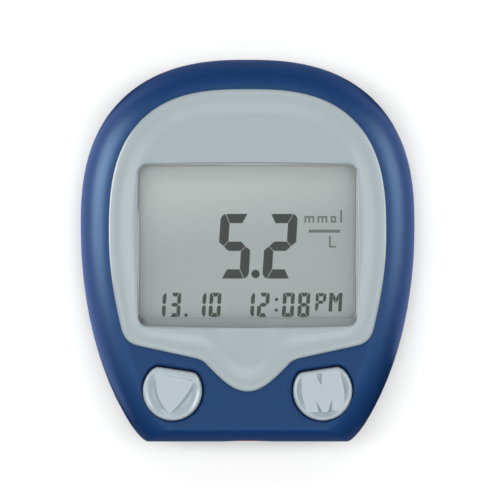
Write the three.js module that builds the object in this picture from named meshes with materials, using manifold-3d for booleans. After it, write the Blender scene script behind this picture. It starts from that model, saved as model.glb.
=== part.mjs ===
// A hand-held blood glucose meter lying on its back, in millimetres.
// X runs across the display, Y up the display and Z out of it. The origin is on the rest
// plane, under the middle of the body.
import * as THREE from 'three';
import { mergeVertices } from 'three/addons/utils/BufferGeometryUtils.js';
import Module from 'manifold-3d';

const wasm = await Module();
wasm.setup();

// Body outline, seen from the front
const bodyWidth = 61.0;
const bodyHeight = 69.7;
const crownDepth = 30.4; // widest line below the top edge
const flankTail = 10.6; // how far below the bottom edge the flanks would meet
const crownPower = 2.5;
const flankPower = 2.05;
const cornerRise = 3.1; // bottom corner rounding, along the flank
const cornerRun = 1.0; // bottom corner rounding, along the bottom edge

// Shell section
const wall = 2.0;
const backWall = 1.6;
const rearDepth = 8.0; // rest plane to parting line
const frontRoll = 6.5; // how far the front face draws in from the outline
const backRoll = 4.2;
const bottomRollShare = 0.5; // the bottom edge draws in less than the flanks
const seamChamfer = 0.25;
const lipHeight = 1.2;
const lipThickness = 0.85;
const lipGap = 0.3;

// Coin cells and the sliding battery cover
const cellDiameter = 20.0;
const cellThickness = 3.2;
const cellCapDiameter = 17.6;
const cellCapRise = 0.5;
const cellSpace = 0.6; // between the two cells
const cellTop = 32.45; // upper edge of the cells above the bottom edge
const bayClearance = 0.3;
const bayWall = 1.0;
const bayFoot = 3.0; // room for the side contacts and the hidden screw below the cells
const coverRecess = 0.2;
const coverThickness = 1.4;
const slideGap = 0.3;
const railLip = 0.7; // thickness of the lips that hold the cover
const railReach = 0.9; // how far the cover's rails go under the lips
const railLength = 6.3;
const coverTravel = 7.0;
const endTongue = 0.9;
const endTongueInset = 3.9;
const coverLipRise = 3.2; // how far the cover wraps round the bottom edge
const coverLipReach = 8.0;
const traySkin = 1.2;
const gripLength = 15.0;
const gripWidth = 7.6;
const gripDepth = 0.55;
const gripRibs = 5;
const gripRibWidth = 0.6;
const gripRise = 9.2; // grip above the cover's stepped shoulder line

// Battery contacts
const contactRoom = 0.9;
const contactThickness = 0.25;
const contactWidth = 3.0;
const sideContactWidth = 4.0;
const springShare = 0.72; // spring's leg from its cell's centre, as a share of the cell's radius
const springKneeShare = 0.55; // spring's bends, as shares of its leg's distance from the centre
const springTouchShare = 0.18;
const springTipShare = 0.45;
const sideLegShare = 0.35; // side contact's leg, as a share of the room below the cell
const sideBowShares = [[0.55, 0.75], [1, 0.45], [0.6, 0.15]]; // of its reach and of the cell's height

// Board and what is on it
const bayCeiling = 1.0;
const boardStandoff = 0.6;
const boardThickness = 1.0;
const boardInset = 3.1;
const padRadius = 1.0;
const padRow = 20.0; // between the two rows of board pads
const processorSide = 10.0;
const processorHeight = 1.4;
const analogLength = 6.0;
const analogWidth = 5.0;
const analogHeight = 1.5;
const chipSpacing = 13.0;
const packageTaper = 0.3;
const crystalDiameter = 2.0;
const crystalLength = 6.0;
const buzzerDiameter = 12.0;
const buzzerHeight = 4.2;
const buzzerPort = 1.6;
const buzzerDrop = 11.6; // buzzer centre below the top edge

// LCD stack, from the board up to the face
const zebraHeight = 5.1;
const zebraThickness = 1.6;
const zebraEnd = 2.0;
const glassThickness = 0.7;
const reflectorThickness = 0.3;
const polariserThickness = 0.2;
const glassMargin = 1.45; // glass past the window on each side
const glassLedge = 2.0; // strip of the front glass left free for the zebra strips
const frameClearance = 0.2;
const frameWall = 1.0;
const frameLip = 0.5;
const frameLipReach = 0.9;
const frameGap = 0.1;
const ceilingWall = 1.2; // shell left under the face plate
const tapeThickness = 0.2;
const lensThickness = 1.2;
const lensMargin = 1.0; // lens past the window on each side
const lensClearance = 0.15;
const windowLip = 0.8;
const tapeSide = 0.3; // tape seen inside the window, left and right
const tapeTop = 0.3;
const tapeBottom = 1.6;

// Face plate
const rimSide = 5.68; // blue rim left and right of the plate
const rimTop = 6.0;
const plateDrop = 1.7; // plate's widest line below the body's
const plateFoot = 9.65; // tip of the tongue above the bottom edge
const plateProud = 1.0;
const plateGap = 0.3;
const plateEdgeRun = 1.4;
const plateEdgeRise = 0.85;
const platePower = 2.75;
const windowSide = 5.08; // plate left and right of the window
const windowTop = 13.2;
const windowBottom = 3.3; // window above the plate's foot, where its lower corners end
const windowCorner = 1.2;
const windowBevel = 0.4;

// Lower half of the plate's outline, as shares of its half width and of its lower height
const sideShares = [[1, 0], [1, 0.242], [0.951, 0.4386], [0.9105, 0.5939]];
const footCornerShares = [[0.9105, 0.5939], [0.8904, 0.6675], [0.8461, 0.6961], [0.7816, 0.7086]];
const shoulderShares = [[0.3948, 0.7837], [0.3183, 0.7965], [0.2901, 0.833]];
const tongueShares = [[0.2901, 0.833], [0.2256, 0.8856], [0.1249, 1], [0, 1]];

// Keys
const keySpacing = 26.86;
const keyHeight = 9.76; // key centres above the bottom edge
const keyRadius = 5.28;
const keyChord = 3.82; // straight upper side, from the key's centre
const keyTilt = 8.7; // degrees that the straight side falls towards the middle
const keyCorner = 0.9;
const keyProud = 0.6; // above the plate
const keyEdgeDrop = 0.9;
const keyCrownShare = 0.85; // reach of the domed face, as a share of the chord's distance
const keyGap = 0.3;
const keyChamfer = 0.3;
const keyEarReach = 0.9;
const keyEarWidth = 4.0;
const keyEarHeight = 0.8;
const keyEarGap = 0.3;
const keyStemRadius = 2.4;
const keyTravel = 0.8;

// Silicone domes under the keys
const domeHeight = 4.2;
const domeBase = 4.2;
const domeTop = 2.4;
const domeShoulder = 3.4;
const domeFoot = 0.7;
const domeCrown = 0.9;
const domePill = 1.5;
const domeSkin = 0.8;

// Strip port and connector
const portWidth = 7.8;
const portHeight = 3.4;
const portGap = 0.3;
const portInset = 0.3; // mouth behind the bottom edge
const portFlange = 1.6;
const portFlangeThickness = 0.5;
const portFlangeInset = 0.5;
const portScoop = 0.5;
const slotWidth = 6.2;
const slotHeight = 0.9;
const slotFloor = 0.8; // slot above the board
const slotMouth = 0.4;
const slotMouthDepth = 1.2;
const connectorWidth = 10.0;
const connectorLength = 4.9;
const connectorHeight = 3.2;
const connectorGap = 0.2;
const stripContactWidth = 0.6;
const stripContactThickness = 0.2;
const stripContactPitch = 1.9;
const stripContactFoot = 0.8;
const stripContactGap = 0.15;
const stripKneeShare = 0.62; // contact's bends, as shares of the connector's length
const stripDipShare = 0.42;
const stripTipShare = 0.3;
const stripPressShare = 0.75; // height in the slot at which a contact presses on the strip

// Screws
const caseScrewInset = 12.0; // upper case screws inside the widest outline
const caseScrewDrop = 12.3; // upper case screws below the top edge
const hiddenScrewHeight = 12.35; // lower case screw above the bottom edge
const screwHeadRadius = 1.9;
const screwHeadHeight = 1.4;
const screwRadius = 1.0;
const screwLength = 8.0;
const screwClearance = 0.3;
const pilotClearance = 0.1;
const screwTip = 0.6;
const driveLength = 2.2;
const driveWidth = 0.5;
const driveDepth = 0.7;
const postWall = 1.3;
const bossWall = 1.2;
const boardScrewInset = 5.6;
const boardScrewRise = 1.5; // board screws above the widest line
const boardScrewHead = 1.5;
const boardScrewHeadHeight = 1.2;
const boardScrewRadius = 0.85;
const boardScrewLength = 5.0;

// Fineness of curves, and one overrun for all cuts
const overrun = 1.0;
const weldDistance = 0.0001;
const fineSides = 36;
const coarseSides = 16;

// Heights that follow from the stack
const coverTopZ = coverRecess + coverThickness;
const trayZ = coverTopZ + slideGap;
const cellRoofZ = trayZ + cellThickness;
const bayRoofZ = cellRoofZ + contactRoom;
const trayTopZ = bayRoofZ + bayCeiling;
const boardZ = trayTopZ + boardStandoff;
const boardTopZ = boardZ + boardThickness;
const frontGlassZ = boardTopZ + zebraHeight;
const frontGlassTopZ = frontGlassZ + glassThickness;
const rearGlassZ = frontGlassZ - glassThickness;
const reflectorZ = rearGlassZ - reflectorThickness;
const frameTopZ = frontGlassTopZ + frameLip;
const ceilingZ = frameTopZ + frameGap;
const recessZ = ceilingZ + ceilingWall;
const lensZ = recessZ + tapeThickness;
const lensTopZ = lensZ + lensThickness;
const plateTopZ = lensTopZ + windowLip;
const faceZ = plateTopZ - plateProud;
const keyTopZ = plateTopZ + keyProud;
const frontDepth = faceZ - rearDepth;
const domeTopZ = boardTopZ + domeHeight;
const slotZ = boardTopZ + slotFloor;
const slotMiddleZ = slotZ + slotHeight / 2;

// Places that follow from the outline
const topY = bodyHeight / 2;
const bottomY = -topY;
const widestY = topY - crownDepth;
const flankReach = widestY - bottomY + flankTail;
const plateHalf = bodyWidth / 2 - rimSide;
const plateTopY = topY - rimTop;
const plateWidestY = widestY - plateDrop;
const plateTipY = bottomY + plateFoot;
const windowHalf = plateHalf - windowSide;
const windowTopY = plateTopY - windowTop;
const plateLower = plateWidestY - plateTipY;
const plateFootY = plateWidestY - plateLower * footCornerShares[3][1];
const windowBottomY = plateFootY + windowBottom;
const windowY = (windowTopY + windowBottomY) / 2;
const windowHeight = windowTopY - windowBottomY;
const keyX = keySpacing / 2;
const keyY = bottomY + keyHeight;
const cellRadius = cellDiameter / 2;
const cellX = cellRadius + cellSpace / 2;
const cellY = bottomY + cellTop - cellRadius;
const bayHalf = cellX + cellRadius + bayClearance;
const bayTopY = cellY + cellRadius + bayClearance;
const bayFootY = cellY - cellRadius - bayFoot;
const coverHalf = bayHalf + bayClearance;
const coverTopY = bayTopY + bayWall;
const shoulderY = coverTopY - railLength;
const coverLipY = bottomY + coverLipReach;
const hiddenScrewY = bottomY + hiddenScrewHeight;
const caseScrewX = bodyWidth / 2 - caseScrewInset;
const caseScrewY = topY - caseScrewDrop;
const boardScrewX = bodyWidth / 2 - boardScrewInset;
const boardScrewY = widestY + boardScrewRise;
const postRadius = screwRadius + postWall;
const boardPostRadius = boardScrewRadius + postWall;

// Curve and outline helpers

function toSolid(geometry) {
  const bare = geometry.clone();
  bare.deleteAttribute('normal');
  bare.deleteAttribute('uv');
  const merged = mergeVertices(bare, weldDistance);
  return new wasm.Manifold(new wasm.Mesh({
    numProp: 3,
    vertProperties: new Float32Array(merged.attributes.position.array),
    triVerts: new Uint32Array(merged.index.array),
  }));
}

function toGeometry(solid) {
  const mesh = solid.getMesh();
  const geometry = new THREE.BufferGeometry();
  geometry.setAttribute('position', new THREE.BufferAttribute(new Float32Array(mesh.vertProperties), 3));
  geometry.setIndex(new THREE.BufferAttribute(new Uint32Array(mesh.triVerts), 1));
  geometry.computeVertexNormals();
  return geometry;
}

// Rings of equal point counts, lowest first, skinned and closed with a fan at each end
function loftGeometry(rings) {
  const count = rings[0].outline.length;
  const positions = [];
  const index = [];
  for (const ring of rings) {
    for (const point of ring.outline) positions.push(point.x, point.y, ring.z);
  }
  for (let level = 0; level + 1 < rings.length; level += 1) {
    for (let k = 0; k < count; k += 1) {
      const here = level * count + k;
      const next = level * count + (k + 1) % count;
      index.push(here, next, next + count, here, next + count, here + count);
    }
  }
  const ends = [rings[0], rings[rings.length - 1]];
  ends.forEach((ring, end) => {
    const centre = new THREE.Vector2();
    for (const point of ring.outline) centre.addScaledVector(point, 1 / count);
    const hub = positions.length / 3;
    const start = end * (rings.length - 1) * count;
    positions.push(centre.x, centre.y, ring.z);
    for (let k = 0; k < count; k += 1) {
      const here = start + k;
      const next = start + (k + 1) % count;
      if (end === 0) index.push(hub, next, here);
      else index.push(hub, here, next);
    }
  });
  const geometry = new THREE.BufferGeometry();
  geometry.setAttribute('position', new THREE.Float32BufferAttribute(positions, 3));
  geometry.setIndex(index);
  return geometry;
}

function loft(rings) {
  return toSolid(loftGeometry(rings));
}

function prism(outline, low, high) {
  return loft([{ outline, z: low }, { outline, z: high }]);
}

function box(left, right, front, back, low, high) {
  const geometry = new THREE.BoxGeometry(right - left, back - front, high - low);
  geometry.translate((left + right) / 2, (front + back) / 2, (low + high) / 2);
  return toSolid(geometry);
}

function disc(x, y, radius, low, high, sides = coarseSides) {
  const geometry = new THREE.CylinderGeometry(radius, radius, high - low, sides);
  geometry.rotateX(Math.PI / 2);
  geometry.translate(x, y, (low + high) / 2);
  return toSolid(geometry);
}

// A profile of [radius, height] pairs turned about Z
function turned(profile, sides) {
  const points = profile.map(([radius, height]) => new THREE.Vector2(radius, height));
  const geometry = new THREE.LatheGeometry(points, sides);
  geometry.rotateX(Math.PI / 2);
  return toSolid(geometry);
}

function mirrored(half) {
  const inner = half.filter((point) => point.x > weldDistance);
  const left = inner.map((point) => new THREE.Vector2(-point.x, point.y)).reverse();
  return [...half, ...left];
}

function roundedRectangle(x, y, width, height, radius, steps = 4) {
  const outline = [];
  for (let corner = 0; corner < 4; corner += 1) {
    const sideX = corner === 0 || corner === 3 ? 1 : -1;
    const sideY = corner < 2 ? 1 : -1;
    for (let k = 0; k <= steps; k += 1) {
      const angle = (corner + k / steps) * Math.PI / 2;
      outline.push(new THREE.Vector2(
        x + sideX * (width / 2 - radius) + radius * Math.cos(angle),
        y + sideY * (height / 2 - radius) + radius * Math.sin(angle),
      ));
    }
  }
  return outline;
}

function bezier(points, steps) {
  const vectors = points.map(([x, y]) => new THREE.Vector2(x, y));
  const curve = points.length === 3
    ? new THREE.QuadraticBezierCurve(...vectors)
    : new THREE.CubicBezierCurve(...vectors);
  return curve.getPoints(steps);
}

// Moves each point of a counter-clockwise outline inwards along its mitre
function drawnIn(outline, inset) {
  const count = outline.length;
  return outline.map((point, k) => {
    const before = outline[(k + count - 1) % count];
    const after = outline[(k + 1) % count];
    const first = point.clone().sub(before).normalize();
    const second = after.clone().sub(point).normalize();
    const normal = new THREE.Vector2(first.y + second.y, -first.x - second.x);
    const scale = inset / (1 + first.dot(second));
    return point.clone().addScaledVector(normal, -scale);
  });
}

// Bent sheet metal: a centreline given its thickness and extruded across its width
function ribbon(centreline, thickness, width) {
  const line = centreline.map(([x, y]) => new THREE.Vector2(x, y));
  const offsets = line.map((point, k) => {
    const first = (k > 0 ? point.clone().sub(line[k - 1]) : line[1].clone().sub(point)).normalize();
    const second = (k + 1 < line.length ? line[k + 1].clone().sub(point) : first.clone()).normalize();
    const normal = new THREE.Vector2(-first.y - second.y, first.x + second.x);
    return normal.multiplyScalar(thickness / 2 / (1 + first.dot(second)));
  });
  const left = line.map((point, k) => point.clone().add(offsets[k]));
  const right = line.map((point, k) => point.clone().sub(offsets[k])).reverse();
  const shape = new THREE.Shape([...left, ...right]);
  const geometry = new THREE.ExtrudeGeometry(shape, { depth: width, bevelEnabled: false });
  geometry.translate(0, 0, -width / 2);
  return geometry;
}

// Body outline: flat bottom, rounded bottom corners, bowed flanks and a full round crown.
// `roll` is how far a ring has drawn in round the edge, `inset` a wall or gap inside it.
const cornerSteps = 4;
const flankSteps = 9;
const crownSteps = 16;

function bodyOutline(roll, inset = 0) {
  const halfWidth = bodyWidth / 2 - roll - inset;
  const rise = topY - widestY - roll - inset;
  const reach = flankReach - roll - inset;
  const bottom = bottomY + bottomRollShare * roll + inset;
  const flankX = (y) => {
    const depthShare = Math.max(0, widestY - y) / reach;
    return halfWidth * (1 - depthShare ** flankPower) ** (1 / flankPower);
  };
  const cornerX = flankX(bottom);
  const cornerY = bottom + cornerRise;
  const half = bezier([
    [cornerX - cornerRun, bottom],
    [cornerX, bottom],
    [flankX(cornerY), cornerY],
  ], cornerSteps);
  for (let k = 1; k <= flankSteps; k += 1) {
    const y = cornerY + (widestY - cornerY) * k / flankSteps;
    half.push(new THREE.Vector2(flankX(y), y));
  }
  for (let k = 1; k <= crownSteps; k += 1) {
    const angle = Math.PI / 2 * k / crownSteps;
    const x = k < crownSteps ? halfWidth * Math.cos(angle) ** (2 / crownPower) : 0;
    half.push(new THREE.Vector2(x, widestY + rise * Math.sin(angle) ** (2 / crownPower)));
  }
  return mirrored(half);
}

// How far the outer faces have drawn in at a height, as quarter ellipses
function ellipseDraw(share) {
  return 1 - Math.sqrt(Math.max(0, 1 - share * share));
}

function frontRollAt(z) {
  return frontRoll * ellipseDraw((z - rearDepth) / frontDepth);
}

function backRollAt(z) {
  return backRoll * ellipseDraw((rearDepth - z) / rearDepth);
}

// Plate outline: a round crown above, and sides, foot corners, shoulders and tongue below
const plateCrownSteps = 14;

function plateOutline() {
  const place = ([x, y]) => [x * plateHalf, plateWidestY - y * plateLower];
  const parts = [
    bezier(tongueShares.map(place).reverse(), 7),
    bezier(shoulderShares.map(place).reverse(), 3).slice(1),
    bezier(footCornerShares.map(place).reverse(), 5),
    bezier(sideShares.map(place).reverse(), 5).slice(1),
  ];
  const half = parts.flat();
  for (let k = 1; k <= plateCrownSteps; k += 1) {
    const angle = Math.PI / 2 * k / plateCrownSteps;
    const x = k < plateCrownSteps ? plateHalf * Math.cos(angle) ** (2 / platePower) : 0;
    const rise = (plateTopY - plateWidestY) * Math.sin(angle) ** (2 / platePower);
    half.push(new THREE.Vector2(x, plateWidestY + rise));
  }
  return mirrored(half);
}

// Key outline about its own centre: a circle cut by a straight side that falls towards the
// middle of the body. `side` is -1 for the left key and 1 for the right one.
function keyOutline(side, inset) {
  const radius = keyRadius - inset;
  const chord = keyChord - inset;
  const lean = side * keyTilt * Math.PI / 180;
  const normalAngle = Math.PI / 2 + lean;
  const halfAngle = Math.acos(chord / radius);
  const trim = keyCorner / keyRadius;
  const start = normalAngle + halfAngle + trim;
  const end = normalAngle - halfAngle - trim + 2 * Math.PI;
  const arcSteps = 26;
  const outline = [];
  for (let k = 0; k <= arcSteps; k += 1) {
    const angle = start + (end - start) * k / arcSteps;
    outline.push(new THREE.Vector2(radius * Math.cos(angle), radius * Math.sin(angle)));
  }
  const across = new THREE.Vector2(Math.sin(normalAngle), -Math.cos(normalAngle));
  const middle = new THREE.Vector2(Math.cos(normalAngle), Math.sin(normalAngle)).multiplyScalar(chord);
  const halfChord = Math.sqrt(radius * radius - chord * chord);
  const straight = halfChord * (1 - keyCorner / keyRadius);
  const rounding = (from, sign) => {
    const corner = middle.clone().addScaledVector(across, sign * halfChord);
    const finish = middle.clone().addScaledVector(across, sign * straight);
    return new THREE.QuadraticBezierCurve(from, corner, finish).getPoints(3).slice(1);
  };
  const right = rounding(outline[outline.length - 1], 1);
  const left = rounding(outline[0], -1).reverse();
  return [...outline, ...right, ...left];
}

function shifted(outline, x, y) {
  return outline.map((point) => new THREE.Vector2(point.x + x, point.y + y));
}

// Materials
const finishes = {
  blue: { color: '#27497a', roughness: 0.35, metalness: 0 },
  pale: { color: '#b0bbc4', roughness: 0.4, metalness: 0 },
  key: { color: '#b6c2ca', roughness: 0.4, metalness: 0 },
  clear: { color: '#dfe5e4', roughness: 0.05, metalness: 0 },
  tape: { color: '#80888a', roughness: 0.8, metalness: 0 },
  silicone: { color: '#d9d9d2', roughness: 0.7, metalness: 0 },
  orange: { color: '#d9692b', roughness: 0.5, metalness: 0 },
  board: { color: '#1f6b3c', roughness: 0.5, metalness: 0 },
  chip: { color: '#1c1d1f', roughness: 0.6, metalness: 0 },
  tin: { color: '#c9cbcc', roughness: 0.3, metalness: 1 },
  steel: { color: '#a9acb0', roughness: 0.35, metalness: 1 },
  gold: { color: '#c9a14a', roughness: 0.3, metalness: 1 },
  glass: { color: '#c3cbbf', roughness: 0.05, metalness: 0 },
  film: { color: '#9fa69c', roughness: 0.5, metalness: 0 },
  white: { color: '#e6e6e0', roughness: 0.6, metalness: 0 },
  zebra: { color: '#4a4a4c', roughness: 0.8, metalness: 0 },
};

const meter = new THREE.Group();

function add(name, shape, finish, x = 0, y = 0, z = 0) {
  const geometry = shape.isBufferGeometry ? shape : toGeometry(shape);
  const mesh = new THREE.Mesh(geometry, new THREE.MeshStandardMaterial(finishes[finish]));
  mesh.name = name;
  mesh.position.set(x, y, z);
  meter.add(mesh);
  return mesh;
}

// Screw positions shared by both shells, the board and the screws
const upperScrews = [[-caseScrewX, caseScrewY], [caseScrewX, caseScrewY]];
const caseScrews = [...upperScrews, [0, hiddenScrewY]];
const boardScrews = [[-boardScrewX, boardScrewY], [boardScrewX, boardScrewY]];
const sides = [-1, 1];

// Front cover

const tapeHole = roundedRectangle(
  0,
  windowY + (tapeBottom - tapeTop) / 2,
  2 * (windowHalf - tapeSide),
  windowHeight - tapeTop - tapeBottom,
  windowCorner,
);

function frontRings(inset, low, high, levels) {
  const rings = [];
  for (let k = 0; k <= levels; k += 1) {
    const z = low + (high - low) * Math.sin(Math.PI / 2 * k / levels);
    rings.push({ outline: bodyOutline(frontRollAt(z), inset), z });
  }
  return rings;
}

function portOutline(grow) {
  const height = portHeight + 2 * grow;
  return roundedRectangle(0, slotMiddleZ, portWidth + 2 * grow, height, height / 2, 6);
}

// An outline drawn in X and Z, extruded along Y
function acrossBottom(outline, front, back) {
  const geometry = loftGeometry([{ outline, z: -back }, { outline, z: -front }]);
  geometry.rotateX(Math.PI / 2);
  return toSolid(geometry);
}

function portOpening() {
  return acrossBottom(portOutline(portGap), bottomY - overrun, bottomY + boardInset + overrun);
}

function frontCover() {
  const outer = frontRings(0, rearDepth + seamChamfer, faceZ, 9);
  outer.unshift({ outline: bodyOutline(0, seamChamfer), z: rearDepth });
  const cavity = frontRings(wall, rearDepth, ceilingZ, 5);
  cavity.unshift({ outline: bodyOutline(0, wall), z: rearDepth - overrun });
  const rebate = bodyOutline(0, wall - lipThickness - lipGap);
  let shell = loft(outer)
    .subtract(loft(cavity))
    .subtract(prism(rebate, rearDepth - overrun, rearDepth + lipHeight + lipGap));
  for (const [x, y] of caseScrews) {
    shell = shell.add(disc(x, y, postRadius, trayTopZ, recessZ - ceilingWall / 2));
  }
  for (const [x, y] of boardScrews) {
    shell = shell.add(disc(x, y, boardPostRadius, boardTopZ, recessZ - ceilingWall / 2));
  }
  for (const [x, y] of caseScrews) {
    const depth = screwLength + screwClearance;
    shell = shell.subtract(disc(x, y, screwRadius + pilotClearance, trayTopZ - overrun, bayRoofZ + depth));
  }
  for (const [x, y] of boardScrews) {
    const depth = boardScrewLength + screwClearance;
    shell = shell.subtract(disc(x, y, boardScrewRadius + pilotClearance, boardZ, boardZ + depth));
  }
  shell = shell.subtract(prism(drawnIn(plateOutline(), -plateGap), recessZ, faceZ + overrun));
  shell = shell.subtract(prism(tapeHole, ceilingZ - overrun, recessZ + overrun));
  for (const side of sides) {
    const hole = shifted(keyOutline(side, -keyGap), side * keyX, keyY);
    const edge = shifted(keyOutline(side, -keyGap - keyChamfer), side * keyX, keyY);
    shell = shell.subtract(loft([
      { outline: hole, z: ceilingZ - overrun },
      { outline: hole, z: faceZ - keyChamfer },
      { outline: edge, z: faceZ },
      { outline: edge, z: faceZ + overrun },
    ]));
  }
  const scoopRadius = (portWidth * portWidth / 4 + portScoop * portScoop) / (2 * portScoop);
  const scoopZ = slotMiddleZ + portHeight / 2;
  const scoopY = bottomY + portScoop - scoopRadius;
  const scoop = disc(0, scoopY, scoopRadius, scoopZ, faceZ + overrun, fineSides * 2);
  return shell.subtract(portOpening()).subtract(scoop);
}
add('front_cover', frontCover(), 'blue');

// Face plate, with its window, the lens pocket under it and the tongue at its foot

function facePlate() {
  const outline = plateOutline();
  const rings = [{ outline, z: recessZ }];
  const edgeLevels = 4;
  for (let k = 0; k <= edgeLevels; k += 1) {
    const angle = Math.PI / 2 * k / edgeLevels;
    rings.push({
      outline: drawnIn(outline, plateEdgeRun * (1 - Math.cos(angle))),
      z: plateTopZ - plateEdgeRise * (1 - Math.sin(angle)),
    });
  }
  const windowRing = (grow) => roundedRectangle(
    0,
    windowY,
    2 * (windowHalf + grow),
    windowHeight + 2 * grow,
    windowCorner + grow,
  );
  const window = loft([
    { outline: windowRing(0), z: recessZ },
    { outline: windowRing(0), z: plateTopZ - windowBevel },
    { outline: windowRing(windowBevel), z: plateTopZ },
    { outline: windowRing(windowBevel), z: plateTopZ + overrun },
  ]);
  const pocket = prism(windowRing(lensMargin + lensClearance), recessZ - overrun, lensTopZ);
  return loft(rings).subtract(window).subtract(pocket);
}
add('face_plate', facePlate(), 'pale');

// Display lens on its adhesive frame

const lensOutline = roundedRectangle(
  0,
  windowY,
  2 * (windowHalf + lensMargin),
  windowHeight + 2 * lensMargin,
  windowCorner + lensMargin,
);
add('display_lens', prism(lensOutline, 0, lensThickness), 'clear', 0, 0, lensZ);
const tape = prism(lensOutline, 0, tapeThickness).subtract(prism(tapeHole, -overrun, overrun));
add('lens_tape', tape, 'tape', 0, 0, recessZ);

// Keys: a domed cap in its hole, two ears that stop it under the cover, and a stem

function keyCap(side) {
  const low = ceilingZ - keyEarGap - keyEarHeight;
  const rings = [{ outline: keyOutline(side, 0), z: low }];
  const crownLevels = 6;
  const crownReach = keyChord * keyCrownShare;
  for (let k = 0; k <= crownLevels; k += 1) {
    const angle = Math.PI / 2 * k / crownLevels;
    rings.push({
      outline: keyOutline(side, crownReach * (1 - Math.cos(angle))),
      z: keyTopZ - keyEdgeDrop * (1 - Math.sin(angle)),
    });
  }
  const earReach = keyRadius + keyEarReach;
  const ears = box(-earReach, earReach, -keyEarWidth / 2, keyEarWidth / 2, low, low + keyEarHeight);
  const stem = disc(0, 0, keyStemRadius, domeTopZ, low + keyEarHeight / 2);
  return loft(rings).add(ears).add(stem);
}
add('scroll_button', keyCap(-1), 'key', -keyX, keyY);
add('memory_button', keyCap(1), 'key', keyX, keyY);

// Silicone dome with a contact pill, open underneath

function keyDome() {
  return turned([
    [0, domeHeight],
    [domeTop, domeHeight],
    [domeTop, domeHeight - domeCrown],
    [domeShoulder, domeFoot + domeSkin / 2],
    [domeBase, domeFoot],
    [domeBase, 0],
    [domeShoulder, 0],
    [domeTop, domeFoot],
    [domePill, domeHeight - domeCrown - domeSkin / 2],
    [domePill, keyTravel + domeSkin],
    [0, keyTravel + domeSkin],
  ].reverse(), 20);
}
add('scroll_key_dome', keyDome(), 'silicone', -keyX, keyY, boardTopZ);
add('memory_key_dome', keyDome(), 'silicone', keyX, keyY, boardTopZ);

// Rear cover, with its lip, battery bay, cover rails, board pads and screw bosses

function rearRings(inset, low, high, levels) {
  const rings = [];
  for (let k = 0; k <= levels; k += 1) {
    const z = high - (high - low) * Math.sin(Math.PI / 2 * (1 - k / levels));
    rings.push({ outline: bodyOutline(backRollAt(z), inset), z });
  }
  return rings;
}

function rearOuter(inset) {
  const rings = rearRings(inset, 0, rearDepth - seamChamfer, 8);
  rings.push({ outline: bodyOutline(0, inset + seamChamfer), z: rearDepth });
  return loft(rings);
}

const railHalf = coverHalf + railReach;
const springReach = cellRadius * springShare;
const sideLegY = bayFootY + bayFoot * sideLegShare;

function coverPocket() {
  const gap = slideGap;
  const low = bottomY - overrun;
  const wide = box(-railHalf - gap, railHalf + gap, low, shoulderY + gap, -overrun, railLip);
  const narrow = box(-coverHalf - gap, coverHalf + gap, low, coverTopY + gap, -overrun, railLip);
  const groove = box(-railHalf - gap, railHalf + gap, low, coverTopY + gap, railLip, trayZ);
  const tongueHalf = coverHalf - endTongueInset + gap;
  const tongueY = coverTopY + endTongue + gap;
  const tongue = box(-tongueHalf, tongueHalf, low, tongueY, railLip, trayZ);
  const wrapRoom = box(-railHalf - gap, railHalf + gap, low, coverLipY + gap, trayZ - gap, coverLipRise + gap)
    .subtract(rearOuter(coverRecess + coverThickness + gap));
  return wide.add(narrow).add(groove).add(tongue).add(wrapRoom);
}

function rearCover() {
  const cavityRings = [{ outline: bodyOutline(backRollAt(backWall), wall), z: backWall }];
  const levels = 4;
  for (let k = 1; k <= levels; k += 1) {
    const z = backWall + (rearDepth - backWall) * k / levels;
    cavityRings.push({ outline: bodyOutline(backRollAt(z), wall), z });
  }
  cavityRings.push({ outline: bodyOutline(0, wall), z: rearDepth + overrun });
  const skinTop = trayZ + traySkin;
  const skinHalf = railHalf + slideGap + traySkin;
  const skin = box(
    -skinHalf,
    skinHalf,
    bottomY - overrun,
    coverTopY + endTongue + slideGap + traySkin,
    0,
    skinTop,
  );
  const bayBlock = box(
    -bayHalf - bayWall,
    bayHalf + bayWall,
    bayFootY - bayWall,
    coverTopY,
    skinTop - traySkin / 2,
    trayTopZ,
  );
  let shell = rearOuter(0).subtract(loft(cavityRings).subtract(skin));
  const lip = prism(bodyOutline(0, wall - lipThickness), rearDepth - lipHeight, rearDepth + lipHeight)
    .subtract(prism(bodyOutline(0, wall), rearDepth - lipHeight - overrun, rearDepth + lipHeight + overrun));
  shell = shell.add(bayBlock).add(lip);
  for (const [x, y] of upperScrews) {
    shell = shell.add(disc(x, y, screwHeadRadius + screwClearance + bossWall, backWall / 2, trayTopZ));
  }
  for (const side of sides) {
    for (const y of [keyY, keyY + padRow]) {
      shell = shell.add(disc(side * keyX, y, padRadius, trayTopZ - bayCeiling / 2, boardZ, 12));
    }
  }
  shell = shell
    .subtract(box(-bayHalf, bayHalf, bayFootY, bayTopY, trayZ - overrun, bayRoofZ))
    .subtract(coverPocket())
    .subtract(portOpening());
  for (const [x, y] of caseScrews) {
    shell = shell.subtract(disc(x, y, screwRadius + screwClearance, -overrun, trayTopZ + overrun));
  }
  for (const [x, y] of upperScrews) {
    shell = shell.subtract(disc(x, y, screwHeadRadius + screwClearance, -overrun, bayRoofZ));
  }
  const legSlot = contactThickness / 2 + slideGap;
  for (const side of sides) {
    const legX = side * (cellX + springReach);
    const halfLeg = contactWidth / 2 + slideGap;
    shell = shell.subtract(box(
      legX - legSlot,
      legX + legSlot,
      cellY - halfLeg,
      cellY + halfLeg,
      bayRoofZ - overrun,
      trayTopZ + overrun,
    ));
    const halfSide = sideContactWidth / 2 + slideGap;
    shell = shell.subtract(box(
      side * cellX - halfSide,
      side * cellX + halfSide,
      sideLegY - legSlot,
      sideLegY + legSlot,
      bayRoofZ - overrun,
      trayTopZ + overrun,
    ));
  }
  return shell;
}
add('rear_cover', rearCover(), 'blue');

// Battery cover: rails and end tongue under the lips, a lip round the bottom edge, a ribbed grip

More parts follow.
